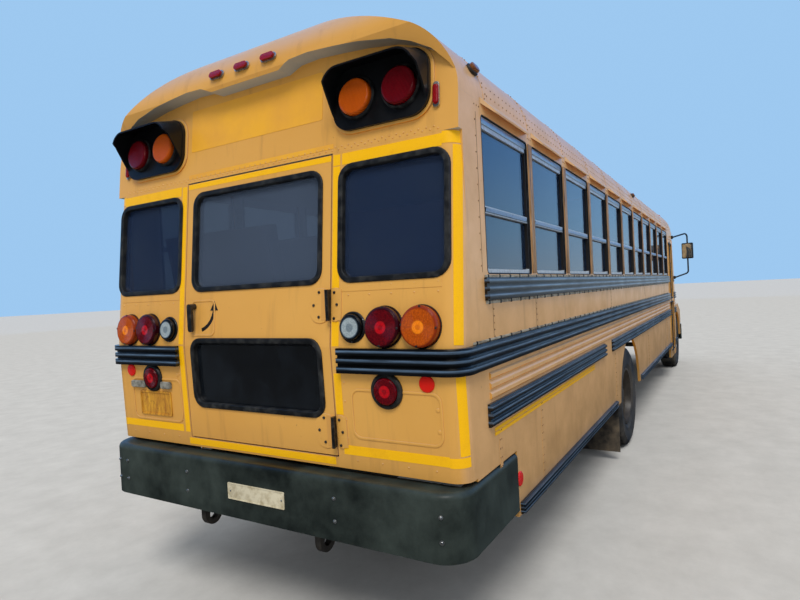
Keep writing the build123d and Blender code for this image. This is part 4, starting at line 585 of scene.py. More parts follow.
def plate(width, height, thick, corner=(0.0, 4), edge=(0.0, 2), band=0.0):
    """A plate, or a band round its rim, that stands on its own back.

    corner and edge are a radius and its number of steps, in the outline and round the front.
    """
    deselect()
    bpy.ops.mesh.primitive_plane_add(size=1)
    piece = bpy.context.object
    piece.scale = (width, height, 1)
    fix(piece)
    with editing():
        if corner[0]:
            bpy.ops.mesh.bevel(offset=corner[0], segments=corner[1], affect="VERTICES")
        if band:
            bpy.ops.mesh.select_all(action="SELECT")
            bpy.ops.mesh.inset(thickness=band)
            bpy.ops.mesh.delete(type="FACE")
    apply(piece, "SOLIDIFY", thickness=thick, offset=1.0)
    if edge[0]:
        apply(piece, "BEVEL", width=edge[0], segments=edge[1], limit_method="ANGLE", angle_limit=radians(40))
    return piece


BOTH = (-1, 1)
SKIRT_LAPS = [0.420, 1.100, 3.491, 5.882, 8.273]
SKIRT_MIDDLE, LAP_HEIGHT, LAP_FOOT, LAP_STEP, LAP_RIVETS = 0.888, 0.460, 0.690, 0.044, 10
DRIP_ROW, DRIP_SHIFTS = 2.628, (-0.028, 0.0, 0.028)
CORNER_SEAM = 0.290
BAND_SEAMS = [0.398] + [POSTS[k] for k in (1, 4, 7, 10)]
BAND_FOOT, BAND_TOP = 1.532, 1.704
POST_FOOT, POST_TOP = 1.852, 2.596
POST_MIDDLE = (POST_TOP + POST_FOOT) / 2
SEAM_WIDTH, SEAM_THICK, ON_PAINT = 0.0028, 0.0005, 0.0001
POST_COVER, POST_SLOT = 0.030, 0.004
laps = copies(plate(LAP_WIDTH + 0.002, LAP_HEIGHT, 0.0008),
              [on_side(station, SKIRT_MIDDLE, side) for station in SKIRT_LAPS for side in BOTH])
settle(laps, "skirt_laps", trim_enamel)
rivet_places = [on_side(station + shift, LAP_FOOT + LAP_STEP * k, side, 0.0006)
                for station in SKIRT_LAPS for side in BOTH for shift in (-BOW_SHIFT, BOW_SHIFT)
                for k in range(LAP_RIVETS)]
rivet_places += [on_side(station + shift, DRIP_ROW, side)
                 for side in BOTH for station in POSTS for shift in DRIP_SHIFTS]
seam_lines = []
for side in BOTH:
    for station in BAND_SEAMS:
        seam = plate(SEAM_WIDTH, BAND_TOP - BAND_FOOT, SEAM_THICK)
        seam_lines.append(put(seam, on_side(station, (BAND_TOP + BAND_FOOT) / 2, side, ON_PAINT)))
        rivet_places += [on_side(station + BOW_SHIFT, BAND_FOOT + 0.012 + 0.033 * k, side) for k in range(5)]
    seam = plate(SEAM_WIDTH, POST_TOP - POST_FOOT, SEAM_THICK)
    seam_lines.append(put(seam, on_side(CORNER_SEAM, POST_MIDDLE, side, ON_PAINT)))
    rivet_places += [on_side(CORNER_SEAM - 0.012, POST_FOOT + 0.03 + 0.075 * k, side) for k in range(10)]
seam_dark = weathered("seam_dark", (66, 44, 30), (128, 92, 58), (20.0, 5.0, 0.7), (0.35, 0.7),
                      Specular_IOR_Level=0.2, Roughness=0.8)
settle(seam_lines, "panel_seams", seam_dark)
settle(copies(rivet(), rivet_places), "side_rivets", rivet_brown)

post_enamel = weathered("post_enamel", (190, 150, 108), (104, 76, 50), (2.0, 5.0, 0.65), (0.36, 0.60),
                        stretch=(70.0, 1.0, 1.5), Coat_Weight=0.12, Coat_Roughness=0.25,
                        Specular_IOR_Level=0.35)
blots = noise(post_enamel, place_on(post_enamel), 22.0, 5.0, 0.7)
over(post_enamel, span(post_enamel, blots, 0.62, 0.74, 0.0, 0.8), (74, 50, 34))
drive(post_enamel, Roughness=span(post_enamel, blots, 0.3, 0.7, 0.4, 0.6))
cover_places = [on_side(station + shift * (POST_COVER + POST_SLOT) / 2, POST_MIDDLE, side, ON_PAINT)
                for side in BOTH for station in POSTS[1:BAYS + max(side, 0)] for shift in BOTH]
settle(copies(plate(POST_COVER, POST_TOP - POST_FOOT, 0.007, edge=(0.003, 2)), cover_places),
       "post_covers", post_enamel)

# Rear wall fittings.
# The rear sheets carry stamped beads and rivets in the same enamel, a stained panel for the plate under
# two small grey lamps, and retroreflective tape stuck round every edge of the wall and its door.
LAMP_RAIL = 1.530
UPPER_LEAN, LOWER_LEAN = 0.098, 0.042
REAR_ROUND = 0.080
ON_REAR = 0.0002


def rear_face(height):
    above = height - LAMP_RAIL
    return REAR + (UPPER_LEAN * above if above > 0 else -LOWER_LEAN * above)


def on_rear(across, height, out=0.0):
    """A frame on the leaning rear face, looking backwards: its own X runs to the kerb side."""
    lean = UPPER_LEAN if height > LAMP_RAIL else -LOWER_LEAN
    outward = Vector((-1, 0, lean)).normalized()
    return facing(Vector((rear_face(height), across, height)) + outward * out, outward, (lean, 0, 1))


def panel(y0, y1, z0, z1, thick, out=ON_REAR, corner=(0.0, 4), edge=(0.0, 1), band=0.0):
    """A plate on the rear face between two distances across and two heights."""
    piece = plate(abs(y1 - y0), z1 - z0, thick, corner, edge, band)
    return put(piece, on_rear((y0 + y1) / 2, (z0 + z1) / 2, out))


def corner_tape(side, z0, z1, start, end, thick):
    """A tape round one rear corner; the angles run from the rear face towards the side."""
    middle = (z0 + z1) / 2
    lean = UPPER_LEAN if middle > LAMP_RAIL else -LOWER_LEAN
    first, last = (-end, -start) if side < 0 else (start, end)
    deselect()
    bpy.ops.mesh.primitive_cylinder_add(vertices=72, radius=REAR_ROUND + ON_REAR, depth=z1 - z0,
                                        end_fill_type="NOTHING")
    piece = bpy.context.object
    with editing():
        pick(piece, "FACE", lambda c: not first < degrees(atan2(c.x, c.y)) < last)
        bpy.ops.mesh.delete(type="FACE")
    apply(piece, "SOLIDIFY", thickness=thick, offset=1.0)
    axis = Vector((rear_face(middle) + REAR_ROUND, side * (SIDE - REAR_ROUND), middle))
    return put(piece, facing(axis, (lean, 0, 1), (-1, 0, lean)))


TAPE = 0.0007
TAPE_WRAP, TAPE_TURN, TAPE_OUTER = 34, 71, 1.139
TAPES = [
    # across from and to, foot and top of each strip on the flat of the wall
    (-0.597, -TAPE_OUTER, 2.412, 2.468), (0.595, TAPE_OUTER, 2.412, 2.468), (-0.543, -0.585, 1.533, 1.652),
    (-0.543, -0.585, 1.812, 2.410), (-0.543, -0.585, 1.203, 1.402), (-0.543, -0.585, 2.413, 2.468),
    (0.545, 0.583, 1.020, 1.526), (0.545, 0.583, 1.534, 2.465), (-0.573, -TAPE_OUTER, 1.010, 1.056),
    (0.602, TAPE_OUTER, 1.020, 1.062), (-0.518, 0.556, 0.951, 0.987),
]
CORNER_TAPES = [
    # side, foot, top and first angle of each strip round a corner
    (-1, 1.060, 1.405, TAPE_WRAP), (-1, 1.533, 2.410, TAPE_WRAP), (-1, 1.010, 1.054, 0),
    (-1, 2.414, 2.468, 0), (1, 1.066, 1.405, TAPE_WRAP), (1, 1.533, 2.410, TAPE_WRAP),
    (1, 1.020, 1.064, 0), (1, 2.414, 2.468, 0),
]
SIDE_TAPE_START, SIDE_TAPE_END = 0.350, 2.568
body_tapes = [panel(*spot, TAPE) for spot in TAPES]
body_tapes += [corner_tape(*spot, TAPE_TURN, TAPE) for spot in CORNER_TAPES]
reflective = finish_of("reflective_tape", Specular_IOR_Level=0.25, Coat_Weight=0.1, Coat_Roughness=0.2)
where = place_on(reflective)
cells = node(reflective, "TexVoronoi", {"Vector": where, "Scale": 260.0}, feature="DISTANCE_TO_EDGE")
cells = cells.outputs["Distance"]
soiled = noise(reflective, where, 6.0, 6.0, 0.65)
cell_share = span(reflective, cells, 0.02, 0.06)
drive(reflective, Base_Color=mixed(reflective, cell_share, (244, 180, 0), (255, 192, 0)),
      Roughness=span(reflective, soiled, 0.3, 0.7, 0.28, 0.5), Normal=relief(reflective, cells, 0.1, 0.001))
over(reflective, span(reflective, soiled, 0.55, 0.8, 0.0, 0.5), (214, 140, 20))
settle(body_tapes, "rear_tapes", reflective)
settle([panel(-0.530, 0.530, 2.440, 2.468, TAPE)], "door_tapes", reflective,
       "emergency_door_body")
side_tapes = [put(plate(SIDE_TAPE_END - SIDE_TAPE_START, top - foot, TAPE),
                  on_side((SIDE_TAPE_START + SIDE_TAPE_END) / 2, (foot + top) / 2, side, 0.0010))
              for side in BOTH for foot, top in ((1.074, 1.091), (1.096, 1.113))]
settle(side_tapes, "side_tapes", reflective)

SIGN_THICK = 0.0012
sign_yellow = weathered("sign_yellow", (244, 178, 44), (232, 164, 52), (4.0, 6.0, 0.6), (0.35, 0.7),
                        (0.32, 0.48), grain=(90.0, 3.0, 0.6, 0.08, 0.001), Specular_IOR_Level=0.5,
                        Coat_Weight=0.25, Coat_Roughness=0.2)
settle([panel(-0.542, 0.530, 2.502, 2.527, TAPE),
        panel(-0.471, 0.513, 2.661, 2.910, SIGN_THICK, corner=(0.012, 4))],
       "rear_sign_sheet", sign_yellow)

BEAD_SHAPE = {"corner": (0.050, 6), "edge": (0.0014, 2), "band": 0.012}
CAP_ROWS = ((2.4935, 0.0), (2.5065, 0.0195))
CAP_RIVETS, CAP_STEP = 58, 0.039
JAMB_HEIGHTS = (2.392, 2.326, 2.240, 2.180, 2.060, 1.974, 1.900)
settle([panel(-0.633, -1.120, 1.092, 1.335, 0.0035, **BEAD_SHAPE),
        panel(0.593, 1.059, 1.067, 1.330, 0.0035, **BEAD_SHAPE),
        panel(-0.590, -1.138, 1.794, 1.842, 0.0016, edge=(0.0005, 1)),
        panel(0.590, 1.138, 1.794, 1.842, 0.0016, edge=(0.0005, 1))],
       "rear_pressings", trim_enamel)
rear_rivets = [on_rear(-1.12 + CAP_STEP * k + shift, height)
               for k in range(CAP_RIVETS) for height, shift in CAP_ROWS]
rear_rivets += [on_rear(y, height) for y in (0.598, -0.598) for height in JAMB_HEIGHTS]
rear_rivets += [on_rear(side * y, height) for side in BOTH for y in (0.64, 0.76, 0.88, 1.00, 1.12)
                for height in (1.776, 1.818)]
rear_rivets += [on_rear(side * 0.600, height) for side in BOTH for height in (1.09, 1.18, 1.27, 1.36)]
rear_rivets += [on_rear(side * y, 0.985) for side in BOTH for y in (0.649, 0.789, 0.930, 1.072)]
settle(copies(rivet(0.0046, 0.003), rear_rivets), "rear_rivets", trim_enamel)

NUMBER_PLATE = (0.690, 0.982, 1.100, 1.248)
stained = weathered("stained_plate", (222, 162, 40), (170, 108, 30), (3.0, 6.0, 0.7), (0.38, 0.62),
                    stretch=(1, 12, 2.2), Specular_IOR_Level=0.4)
blots = noise(stained, place_on(stained), 26.0, 5.0, 0.7)
over(stained, span(stained, blots, 0.55, 0.72, 0.0, 0.7), (110, 68, 26))
drive(stained, Roughness=span(stained, blots, 0.3, 0.7, 0.5, 0.75), Normal=relief(stained, blots, 0.2, 0.001))
settle([panel(*NUMBER_PLATE, 0.002, corner=(0.010, 4), edge=(0.0006, 1)),
        panel(*NUMBER_PLATE, 0.005, 0.0018, (0.010, 6), (0.0015, 2), 0.010)],
       "plate_panel", stained)
dull_grey = weathered("dull_grey", (150, 148, 138), (92, 90, 82), (30.0, 5.0, 0.65), (0.4, 0.65), (0.4, 0.6),
                      (0.15, 0.001), Specular_IOR_Level=0.4)
settle([panel(y0, y1, 1.268, 1.311, 0.020, corner=(0.012, 4), edge=(0.005, 1))
        for y0, y1 in ((0.912, 1.047), (0.674, 0.764))], "plate_lamps", dull_grey)

# Windows.
# Each side window is a split sash of bright aluminium in a black rubber seat, with a hatched meeting
# rail and a header strip; the rear panes sit in thick black rubber. The glass is dark tinted.
WINDOW_SILL, WINDOW_TOP, MEETING_RAIL = 1.845, 2.600, 2.1535
WINDOW_MIDDLE = (WINDOW_SILL + WINDOW_TOP) / 2
PILLAR, STILE = 0.090, 0.026
DOOR_STATION, BODY_LENGTH = 8.797, 9.647
SASH_OUT, BAR_STEP, BAR_SLANT = -0.008, 0.0135, radians(32)
REAR_WINDOW_Y, REAR_WINDOW_WIDTH, DOOR_WINDOW_WIDTH = 0.877, 0.584, 0.940
REAR_WINDOW, LOWER_WINDOW = (1.842, 2.404), (1.184, 1.563)  # foot and top
RUBBER_LAP = 0.010
black_rubber = weathered("black_rubber", (17, 18, 20), (58, 58, 56), (18.0, 5.0, 0.65), (0.45, 0.75),
                         (0.42, 0.68), grain=(300.0, 3.0, 0.6, 0.12, 0.001), Specular_IOR_Level=0.45)


def glass(name, tint, alpha, rear_tint=None, painted_shade_below=0.0):
    """Glass with a film of grime; panes in the rear face have their own tint. Below the height given, a pane
    is painted nearly black and nearly opaque: painted shade for the dark inside behind it.
    """
    finish = finish_of(name, Roughness=0.03, Alpha=alpha, IOR=1.75, Specular_IOR_Level=0.8, Coat_Weight=0.6,
                       Coat_Roughness=0.02)
    where = place_on(finish)
    grime = noise(finish, where, 2.5, 6.0, 0.6)
    height = axis_of(finish, where, "Z")
    at_rear = maths(finish, "LESS_THAN", axis_of(finish, where, "X"), REAR + 0.2)
    drive(finish, Base_Color=mixed(finish, at_rear, tint, rear_tint or tint),
          Alpha=span(finish, height, painted_shade_below, painted_shade_below + 0.001, 0.92, alpha),
          Roughness=span(finish, grime, 0.4, 0.8, 0.02, 0.10),
          Normal=relief(finish, noise(finish, where, 1.1, 2.0, 0.4), 0.06, 0.02))
    # Painted shade: below that height the pane turns nearly black, for the dark inside seen through it.
    over(finish, maths(finish, "LESS_THAN", height, painted_shade_below), (3, 5, 9))
    over(finish, span(finish, grime, 0.45, 0.85, 0.0, 0.3), (64, 76, 90))
    return finish


dress(glass("tinted_glass", (20, 44, 74), 0.62, (38, 54, 84)), "side_glass")
dress(glass("entry_glass", (18, 34, 54), 0.52), "entry_glass_rear", "entry_glass_front")
dress(glass("rear_door_glass", (84, 98, 120), 0.62, painted_shade_below=1.6), "emergency_door_glass")
dress(glass("clear_glass", (110, 128, 134), 0.35), "windshield")

aluminium = weathered("mill_aluminium", (176, 182, 188), (120, 122, 120), (60.0, 5.0, 0.7),
                      (0.5, 0.72, 0.0, 0.7), Metallic=0.85)
brushed = noise(aluminium, place_on(aluminium, (3, 30, 60)), 6.0, 4.0, 0.6)
drive(aluminium, Roughness=span(aluminium, brushed, 0.3, 0.7, 0.26, 0.46),
      Normal=relief(aluminium, brushed, 0.06, 0.001))
sash_metal = weathered("sash_metal", (192, 197, 203), (136, 138, 138), (60.0, 5.0, 0.7),
                       (0.5, 0.72, 0.0, 0.7), (0.3, 0.5), Metallic=0.35)
# Painted shade: a dark band down each stile of the sashes, for the shade inside the window frame.
in_bay = maths(sash_metal, "SUBTRACT", axis_of(sash_metal, place_on(sash_metal), "X"), REAR + REAR_POST)
in_bay = maths(sash_metal, "FLOORED_MODULO", in_bay, BAY)
from_middle = maths(sash_metal, "ABSOLUTE", maths(sash_metal, "SUBTRACT", in_bay, BAY / 2))
over(sash_metal, maths(sash_metal, "GREATER_THAN", from_middle, (BAY - PILLAR) / 2 - STILE), (46, 44, 44))
dress(sash_metal, "window_sashes")


def rubber_ring(width, height, corner, band, thick):
    """A rubber band round a rounded opening, about its own middle."""
    return plate(width, height, thick, (corner, 6), (min(0.35 * thick, 0.004), 3), band)


def pane_rubber(across, foot, top, width):
    ring = rubber_ring(width + 2 * RUBBER_LAP, top - foot + 2 * RUBBER_LAP, 0.080, 0.0285, 0.059)
    return put(ring, on_rear(across, (foot + top) / 2, -0.051))


rubbers, headers, bars = [], [], []
for side in BOTH:
    windows = [(station + BAY / 2, BAY - PILLAR) for station in POSTS[:BAYS]]
    if side > 0:
        windows.append(((DOOR_STATION + BODY_LENGTH) / 2, BODY_LENGTH - DOOR_STATION - PILLAR))
    for station, width in windows:
        ring = rubber_ring(width + 0.004, WINDOW_TOP - WINDOW_SILL + 0.004, 0.027, 0.008, 0.0105)
        rubbers.append(put(ring, on_side(station, WINDOW_MIDDLE, side, -0.0090)))
        header = plate(width - 0.030, 0.030, 0.004, edge=(0.0012, 2))
        headers.append(put(header, on_side(station, WINDOW_TOP - 0.026, side, SASH_OUT + 0.0002)))
        # Painted shade: a black rubber strip behind the hatched bars stands in for the shade in their gaps.
        groove = plate(width - 0.052, 0.023, 0.0006)
        rubbers.append(put(groove, on_side(station, MEETING_RAIL, side, SASH_OUT + 0.0001)))
        bar = plate(0.0070, 0.026, 0.0030, edge=(0.0010, 1))
        bar = fix(put(bar, Matrix.Rotation(side * BAR_SLANT, 4, "Z")))
        bar = row(bar, int((width - 0.07) / BAR_STEP), (BAR_STEP, 0, 0))
        start = station + side * (width / 2 - 0.040)
        bars.append(put(bar, on_side(start, MEETING_RAIL, side, SASH_OUT + 0.0007)))
settle(rubbers, "side_window_rubbers", black_rubber)
settle(headers + bars, "sash_bars", aluminium)
settle([pane_rubber(side * REAR_WINDOW_Y, *REAR_WINDOW, REAR_WINDOW_WIDTH) for side in BOTH],
       "rear_window_rubbers", black_rubber)
settle([pane_rubber(0, *REAR_WINDOW, DOOR_WINDOW_WIDTH), pane_rubber(0, *LOWER_WINDOW, DOOR_WINDOW_WIDTH)],
       "door_window_rubbers", black_rubber, "emergency_door_body")

# Rub rails and rear bumper.
# Rolled steel rails in gloss black enamel, bedded in pale sealer and held by a row of small black clips,
# and a deep pressed bumper bolted to the frame, with a bare cream plate screwed to it.
RIB_RUNS = [
    # height above which the rail lies, its foot, its rib pitch
    (0.0, 0.590, 0.0200), (0.9, 1.131, 0.0360), (1.3, 1.405, 0.0407), (1.6, 1.720, 0.0357),
]


def ribbed_black(name):
    """Gloss black on round ribs, with a painted highlight along each crown and painted shade in each groove.
    """
    finish = black_enamel(name, (6, 9, 14), (34, 42, 50), 0.25, 0.45, 0.3)
    height = axis_of(finish, place_on(finish), "Z")
    foot, pitch = RIB_RUNS[0][1:]
    for level, next_foot, next_pitch in RIB_RUNS[1:]:
        above = maths(finish, "GREATER_THAN", height, level)
        foot = span(finish, above, 0.0, 1.0, foot, next_foot)
        pitch = span(finish, above, 0.0, 1.0, pitch, next_pitch)
    along = maths(finish, "FRACT", maths(finish, "DIVIDE", maths(finish, "SUBTRACT", height, foot), pitch))
    off_crown = maths(finish, "ABSOLUTE", maths(finish, "SUBTRACT", along, 0.5))
    fall = maths(finish, "POWER", maths(finish, "MULTIPLY", off_crown, 2.0), 2.0)
    scuff = noise(finish, place_on(finish, (1.5, 1.5, 30)), 3.0, 5.0, 0.65)
    painted_crown_highlight = maths(finish, "MULTIPLY", span(finish, along, 0.42, 0.66), span(finish, along, 0.80, 0.70))
    painted_crown_highlight = maths(finish, "MULTIPLY", painted_crown_highlight, span(finish, scuff, 0.32, 0.62, 0.25, 1.0))
    # Painted shade in each groove, then a painted sky highlight along each crown, broken up by scuffs.
    over(finish, span(finish, off_crown, 0.30, 0.42), (3, 4, 6))
    over(finish, painted_crown_highlight, (92, 118, 146))
    drive(finish, Normal=relief(finish, maths(finish, "SUBTRACT", 1.0, fall), 0.8, 0.006))
    return finish


dress(ribbed_black("rail_black"), "rub_rails")
mirror_black = dress(black_enamel("mirror_black", (14, 15, 17), (58, 58, 56), 0.4, 0.3, 0.3), "mirrors")
dress(black_enamel("bumper_black", (22, 28, 27), (84, 96, 90), 0.6, 0.08, 0.2), "rear_bumper", "front_bumper")
SEALS = [
    # start, foot, top of the bead of sealer beside a rail
    (0.310, 1.7035, 1.7185), (0.310, 1.8285, 1.8405), (0.140, 1.5285, 1.5400),
]
CLIP_STEP = 0.150
seal_beads, clip_rows = [], []
for side in BOTH:
    for start, foot, top in SEALS:
        stop = DOOR_STATION + (0.010 if side < 0 else 0.820)
        bead = plate(stop - start, top - foot, 0.004, edge=(0.0012, 1))
        seal_beads.append(put(bead, on_side((start + stop) / 2, (foot + top) / 2, side, ON_PAINT)))
        clip = plate(0.010, top - foot + 0.004, 0.007, edge=(0.0012, 1))
        clip = row(clip, int((stop - start - 0.05) / CLIP_STEP), (CLIP_STEP, 0, 0))
        first = start + 0.04 if side < 0 else stop - 0.04
        clip_rows.append(put(clip, on_side(first, (foot + top) / 2, side, 2 * ON_PAINT)))
sealer = weathered("sealer", (178, 172, 156), (92, 80, 66), (16.0, 6.0, 0.7), (0.4, 0.66), (0.5, 0.75),
                   stretch=(1, 1, 5), Specular_IOR_Level=0.3)
settle(seal_beads, "rail_seals", sealer)
settle(clip_rows, "rail_clips", mirror_black)

BUMPER_FACE, BUMPER_HALF, BUMPER_ROUND = REAR - 0.065, 1.225, 0.150
BOLT = [(0.0105, -0.001), (0.0105, 0.0015), (0.007, 0.002), (0.007, 0.006), (0.005, 0.0075)]
BLANK_Y, BLANK_Z, BLANK_WIDTH, BLANK_HEIGHT = -0.0475, 0.761, 0.401, 0.088


def on_bumper(across, height, out=0.0):
    """A frame on the rear bumper's face, which turns round at both ends."""
    flat = BUMPER_HALF - BUMPER_ROUND
    if abs(across) <= flat:
        return facing((BUMPER_FACE - out, across, height), (-1, 0, 0))
    turn = asin((abs(across) - flat) / BUMPER_ROUND)
    outward = Vector((-cos(turn), copysign(sin(turn), across), 0))
    centre = Vector((BUMPER_FACE + BUMPER_ROUND, copysign(flat, across), height))
    return facing(centre + outward * (BUMPER_ROUND + out), outward)


bright = weathered("bright_plate", (196, 200, 204), (140, 136, 126), (40.0, 5.0, 0.65), gloss=(0.18, 0.42),
                   Metallic=0.9)
bolt_places = [on_bumper(across, height) for across in (1.122, 1.035, 0.484, -0.562, -1.122)
               for height in (0.820, 0.712)]
settle(copies(turned(BOLT, 16), bolt_places), "bumper_bolts", bright)
cream = weathered("cream_plate", (214, 204, 176), (164, 148, 112), (24.0, 6.0, 0.65), (0.45, 0.75),
                  (0.3, 0.5), (0.08, 0.001), Specular_IOR_Level=0.5, Coat_Weight=0.2, Coat_Roughness=0.2)
blank = plate(BLANK_WIDTH, BLANK_HEIGHT, 0.0025, (0.006, 3), (0.0008, 2))
rim = rubber_ring(BLANK_WIDTH, BLANK_HEIGHT, 0.006, 0.006, 0.0045)
settle([put(piece, on_bumper(BLANK_Y, BLANK_Z)) for piece in (blank, rim)],
       "bumper_plate", cream)
settle(copies(rivet(0.005, 0.003, 12), [on_bumper(BLANK_Y + s, BLANK_Z, 0.0024) for s in (-0.182, 0.182)]),
       "plate_screws", bright)

# Emergency door hardware.
# Two pin hinges on rounded plates bolted to door and post, and an upright lever handle in a pressed
# recess with a curved arrow beside it.
LOWER_HINGE, HINGE_RISE = 1.118, 0.615
DOOR_BOLTS = ((-0.466, 1.181), (-0.433, 1.118), (-0.466, 1.060))
POST_BOLTS = ((-0.560, 1.177), (-0.576, 1.118), (-0.560, 1.052))
ARROW_CENTRE, ARROW_ROUND, ARROW_HALF = (0.421, 1.748), 0.135, 0.0105
hardware = weathered("door_hardware", (16, 17, 19), (70, 66, 60), (45.0, 5.0, 0.65), (0.5, 0.75), (0.3, 0.5),
                     (0.12, 0.001), Specular_IOR_Level=0.5, Coat_Weight=0.15, Coat_Roughness=0.25)
across = axis_of(hardware, place_on(hardware), "Y")
over(hardware, maths(hardware, "MULTIPLY", maths(hardware, "GREATER_THAN", across, -0.5275),
                     maths(hardware, "LESS_THAN", across, -0.40)), (214, 156, 76))
dress(hardware, "emergency_door_hardware")
door_plates, post_plates, door_bolts, post_bolts = [], [], [], []
for hinge in (LOWER_HINGE, LOWER_HINGE + HINGE_RISE):
    lift = hinge - LOWER_HINGE
    door_plates.append(panel(-0.533, -0.409, hinge - 0.089, hinge + 0.085, 0.004,
                             corner=(0.058, 4), edge=(0.0012, 1)))
    post_plates.append(panel(-0.547, -0.587, hinge - 0.082, hinge + 0.082, 0.004, 0.0010,
                             corner=(0.016, 4), edge=(0.0012, 1)))
    door_bolts += [on_rear(y, z + lift, 0.004) for y, z in DOOR_BOLTS]
    post_bolts += [on_rear(y, z + lift, 0.0045) for y, z in POST_BOLTS]
settle(door_plates, "hinge_door_plates", trim_enamel, "emergency_door_body")
settle(post_plates, "hinge_post_plates", trim_enamel)
dark_metal = weathered("dark_metal", (46, 48, 52), (96, 92, 84), (50.0, 5.0, 0.65), gloss=(0.35, 0.6),
                       Metallic=0.6, Roughness=0.45)
hex_head = turned([(0.0075, 0.0), (0.0075, 0.004), (0.006, 0.0052)], 6)
settle(copies(hex_head, door_bolts, keep=True), "hinge_door_bolts", dark_metal,
       "emergency_door_body", smooth=20)
settle(copies(hex_head, post_bolts), "hinge_post_bolts", dark_metal, smooth=20)
settle([panel(0.279, 0.480, 1.583, 1.788, 0.003, corner=(0.034, 6), edge=(0.0012, 2), band=0.010)],
       "handle_recess", trim_enamel, "emergency_door_body")
shaft = turned([(ARROW_ROUND + ARROW_HALF, 0.0), (ARROW_ROUND - ARROW_HALF, 0.0)], 72, False)
with editing():
    pick(shaft, "FACE", lambda c: not -76 < degrees(atan2(c.y, c.x)) < -4)
    bpy.ops.mesh.delete(type="FACE")
    seal()
deselect()
bpy.ops.mesh.primitive_circle_add(vertices=3, radius=0.036, fill_type="NGON",
                                  location=(ARROW_ROUND - 0.001, -0.004, 0))
arrow = apply(join([shaft, fix(bpy.context.object)]), "SOLIDIFY", thickness=0.0006, offset=1.0)
decal_black = weathered("decal_black", (18, 18, 20), (60, 50, 36), (90.0, 4.0, 0.7), (0.5, 0.8),
                        Base_Color=seen(20, 20, 22), Roughness=0.45)
settle([put(arrow, on_rear(*ARROW_CENTRE, ON_REAR))], "door_arrow", decal_black,
       "emergency_door_body")


# Lamps.
# Two amber and two red warning lamps in hooded black housings on the rear cap, the same again at the
# front, and below them stop, turn and reversing lamps with ribbed lenses in dark screwed rings.
def lens(name, shade, deep, ribs=190.0, hearts=(), painted_glint=None, sizes=(0.027, 0.078), rim=None):
    """Moulded lens with fine ribs whose light and dark bands are painted light; one below the windows has
    rings about a painted bright glint at its centre and painted shade at its rim.
    """
    finish = finish_of(name, Specular_IOR_Level=0.3, Coat_Weight=0.2, Coat_Roughness=0.08, Roughness=0.22)
    where = place_on(finish)
    height = axis_of(finish, where, "Z")
    prisms = maths(finish, "SINE", maths(finish, "MULTIPLY", height, 2 * pi * ribs))
    patches = noise(finish, where, 14.0, 4.0, 0.6)
    # Painted light: the colour swings between deep and shade along the ribs, as the prisms catch light.
    drive(finish, Base_Color=mixed(finish, span(finish, prisms, -1.0, 1.0), deep, shade))
    over(finish, span(finish, patches, 0.45, 0.75, 0.0, 0.4), deep)
    if hearts:
        flat = node(finish, "VectorMath", {0: where}, operation="ABSOLUTE").outputs[0]
        flat = node(finish, "VectorMath", {0: flat, 1: (0, 1, 1)}, operation="MULTIPLY").outputs[0]
        reach = 1.0
        for across, level in hearts:
            away = node(finish, "VectorMath", {0: flat, 1: (0, across, level)}, operation="DISTANCE")
            reach = maths(finish, "MINIMUM", reach, away.outputs["Value"])
        low = maths(finish, "LESS_THAN", height, 2.2)
        rings = maths(finish, "SINE", maths(finish, "MULTIPLY", reach, 2 * pi * ribs * 1.3))
        speckle = noise(finish, where, 150.0, 4.0, 0.7)
        prisms = maths(finish, "ADD", maths(finish, "MULTIPLY", prisms, maths(finish, "SUBTRACT", 1.0, low)),
                       maths(finish, "MULTIPLY", rings, low))
        inner, outer = sizes
        pool = mixed(finish, span(finish, speckle, 0.35, 0.68), deep, shade)
        # Painted highlight: a bright glint at each lamp's centre, where the reflector would shine through;
        # painted shade: a dark rim at the edge.
        painted_glow = mixed(finish, span(finish, speckle, 0.4, 0.6, 0.0, 0.45), painted_glint, shade)
        pool = mixed(finish, span(finish, reach, inner + 0.004, inner - 0.001), pool, painted_glow)
        pool = mixed(finish, span(finish, reach, inner * 0.5, inner * 0.4, 0.0, 0.6), pool, shade)
        pool = mixed(finish, span(finish, reach, outer, outer + 0.006), pool, rim)
        over(finish, low, pool)
    drive(finish, Normal=relief(finish, prisms, 0.35, 0.0012))
    return finish


LOW_Z, STOP_SPOT = 1.624, (0.843, 1.331)
TURN_SPOT, BRAKE_SPOT, BACKING_SPOT = (1.040, LOW_Z), (0.847, LOW_Z), (0.668, LOW_Z)
# Each lens's bright centre colour is a painted glint, and its rim colour is painted shade.
dress(lens("red_lens", (118, 3, 16), (56, 0, 8), hearts=[BRAKE_SPOT, STOP_SPOT], painted_glint=(196, 6, 22),
           rim=(50, 5, 14)), "red_lamps")
dress(lens("amber_lens", (206, 92, 4), (150, 58, 2), hearts=[TURN_SPOT], painted_glint=(255, 142, 12),
           rim=(140, 48, 10)), "amber_lamps")
dress(lens("clear_lens", (82, 98, 110), (26, 36, 54), hearts=[BACKING_SPOT], painted_glint=(168, 180, 184),
           sizes=(0.044, 0.047), rim=(12, 15, 20)), "clear_lamps")
stop_lens = lens("stop_lens", (176, 10, 22), (96, 2, 10))
dress(black_enamel("pod_black", (9, 10, 13), (40, 44, 50), 0.4, 0.2, 0.25), "lamp_pods")

BIG_LAMP, SMALL_LAMP, NOTCH_CIRCLE, LENS_FACE = 0.093, 0.062, 0.0855, 0.0385
STOP_RING = [(0.084, 0.0), (0.084, 0.008), (0.078, 0.016), (0.066, 0.018), (0.0626, 0.012), (0.0626, 0.0),
             (0.084, 0.0)]


def collar(radius, profile, place):
    """A ring round a lamp, drawn along (distance beyond the lens, height) pairs."""
    return put(turned([(radius + out, height) for out, height in profile], 48, False), place)


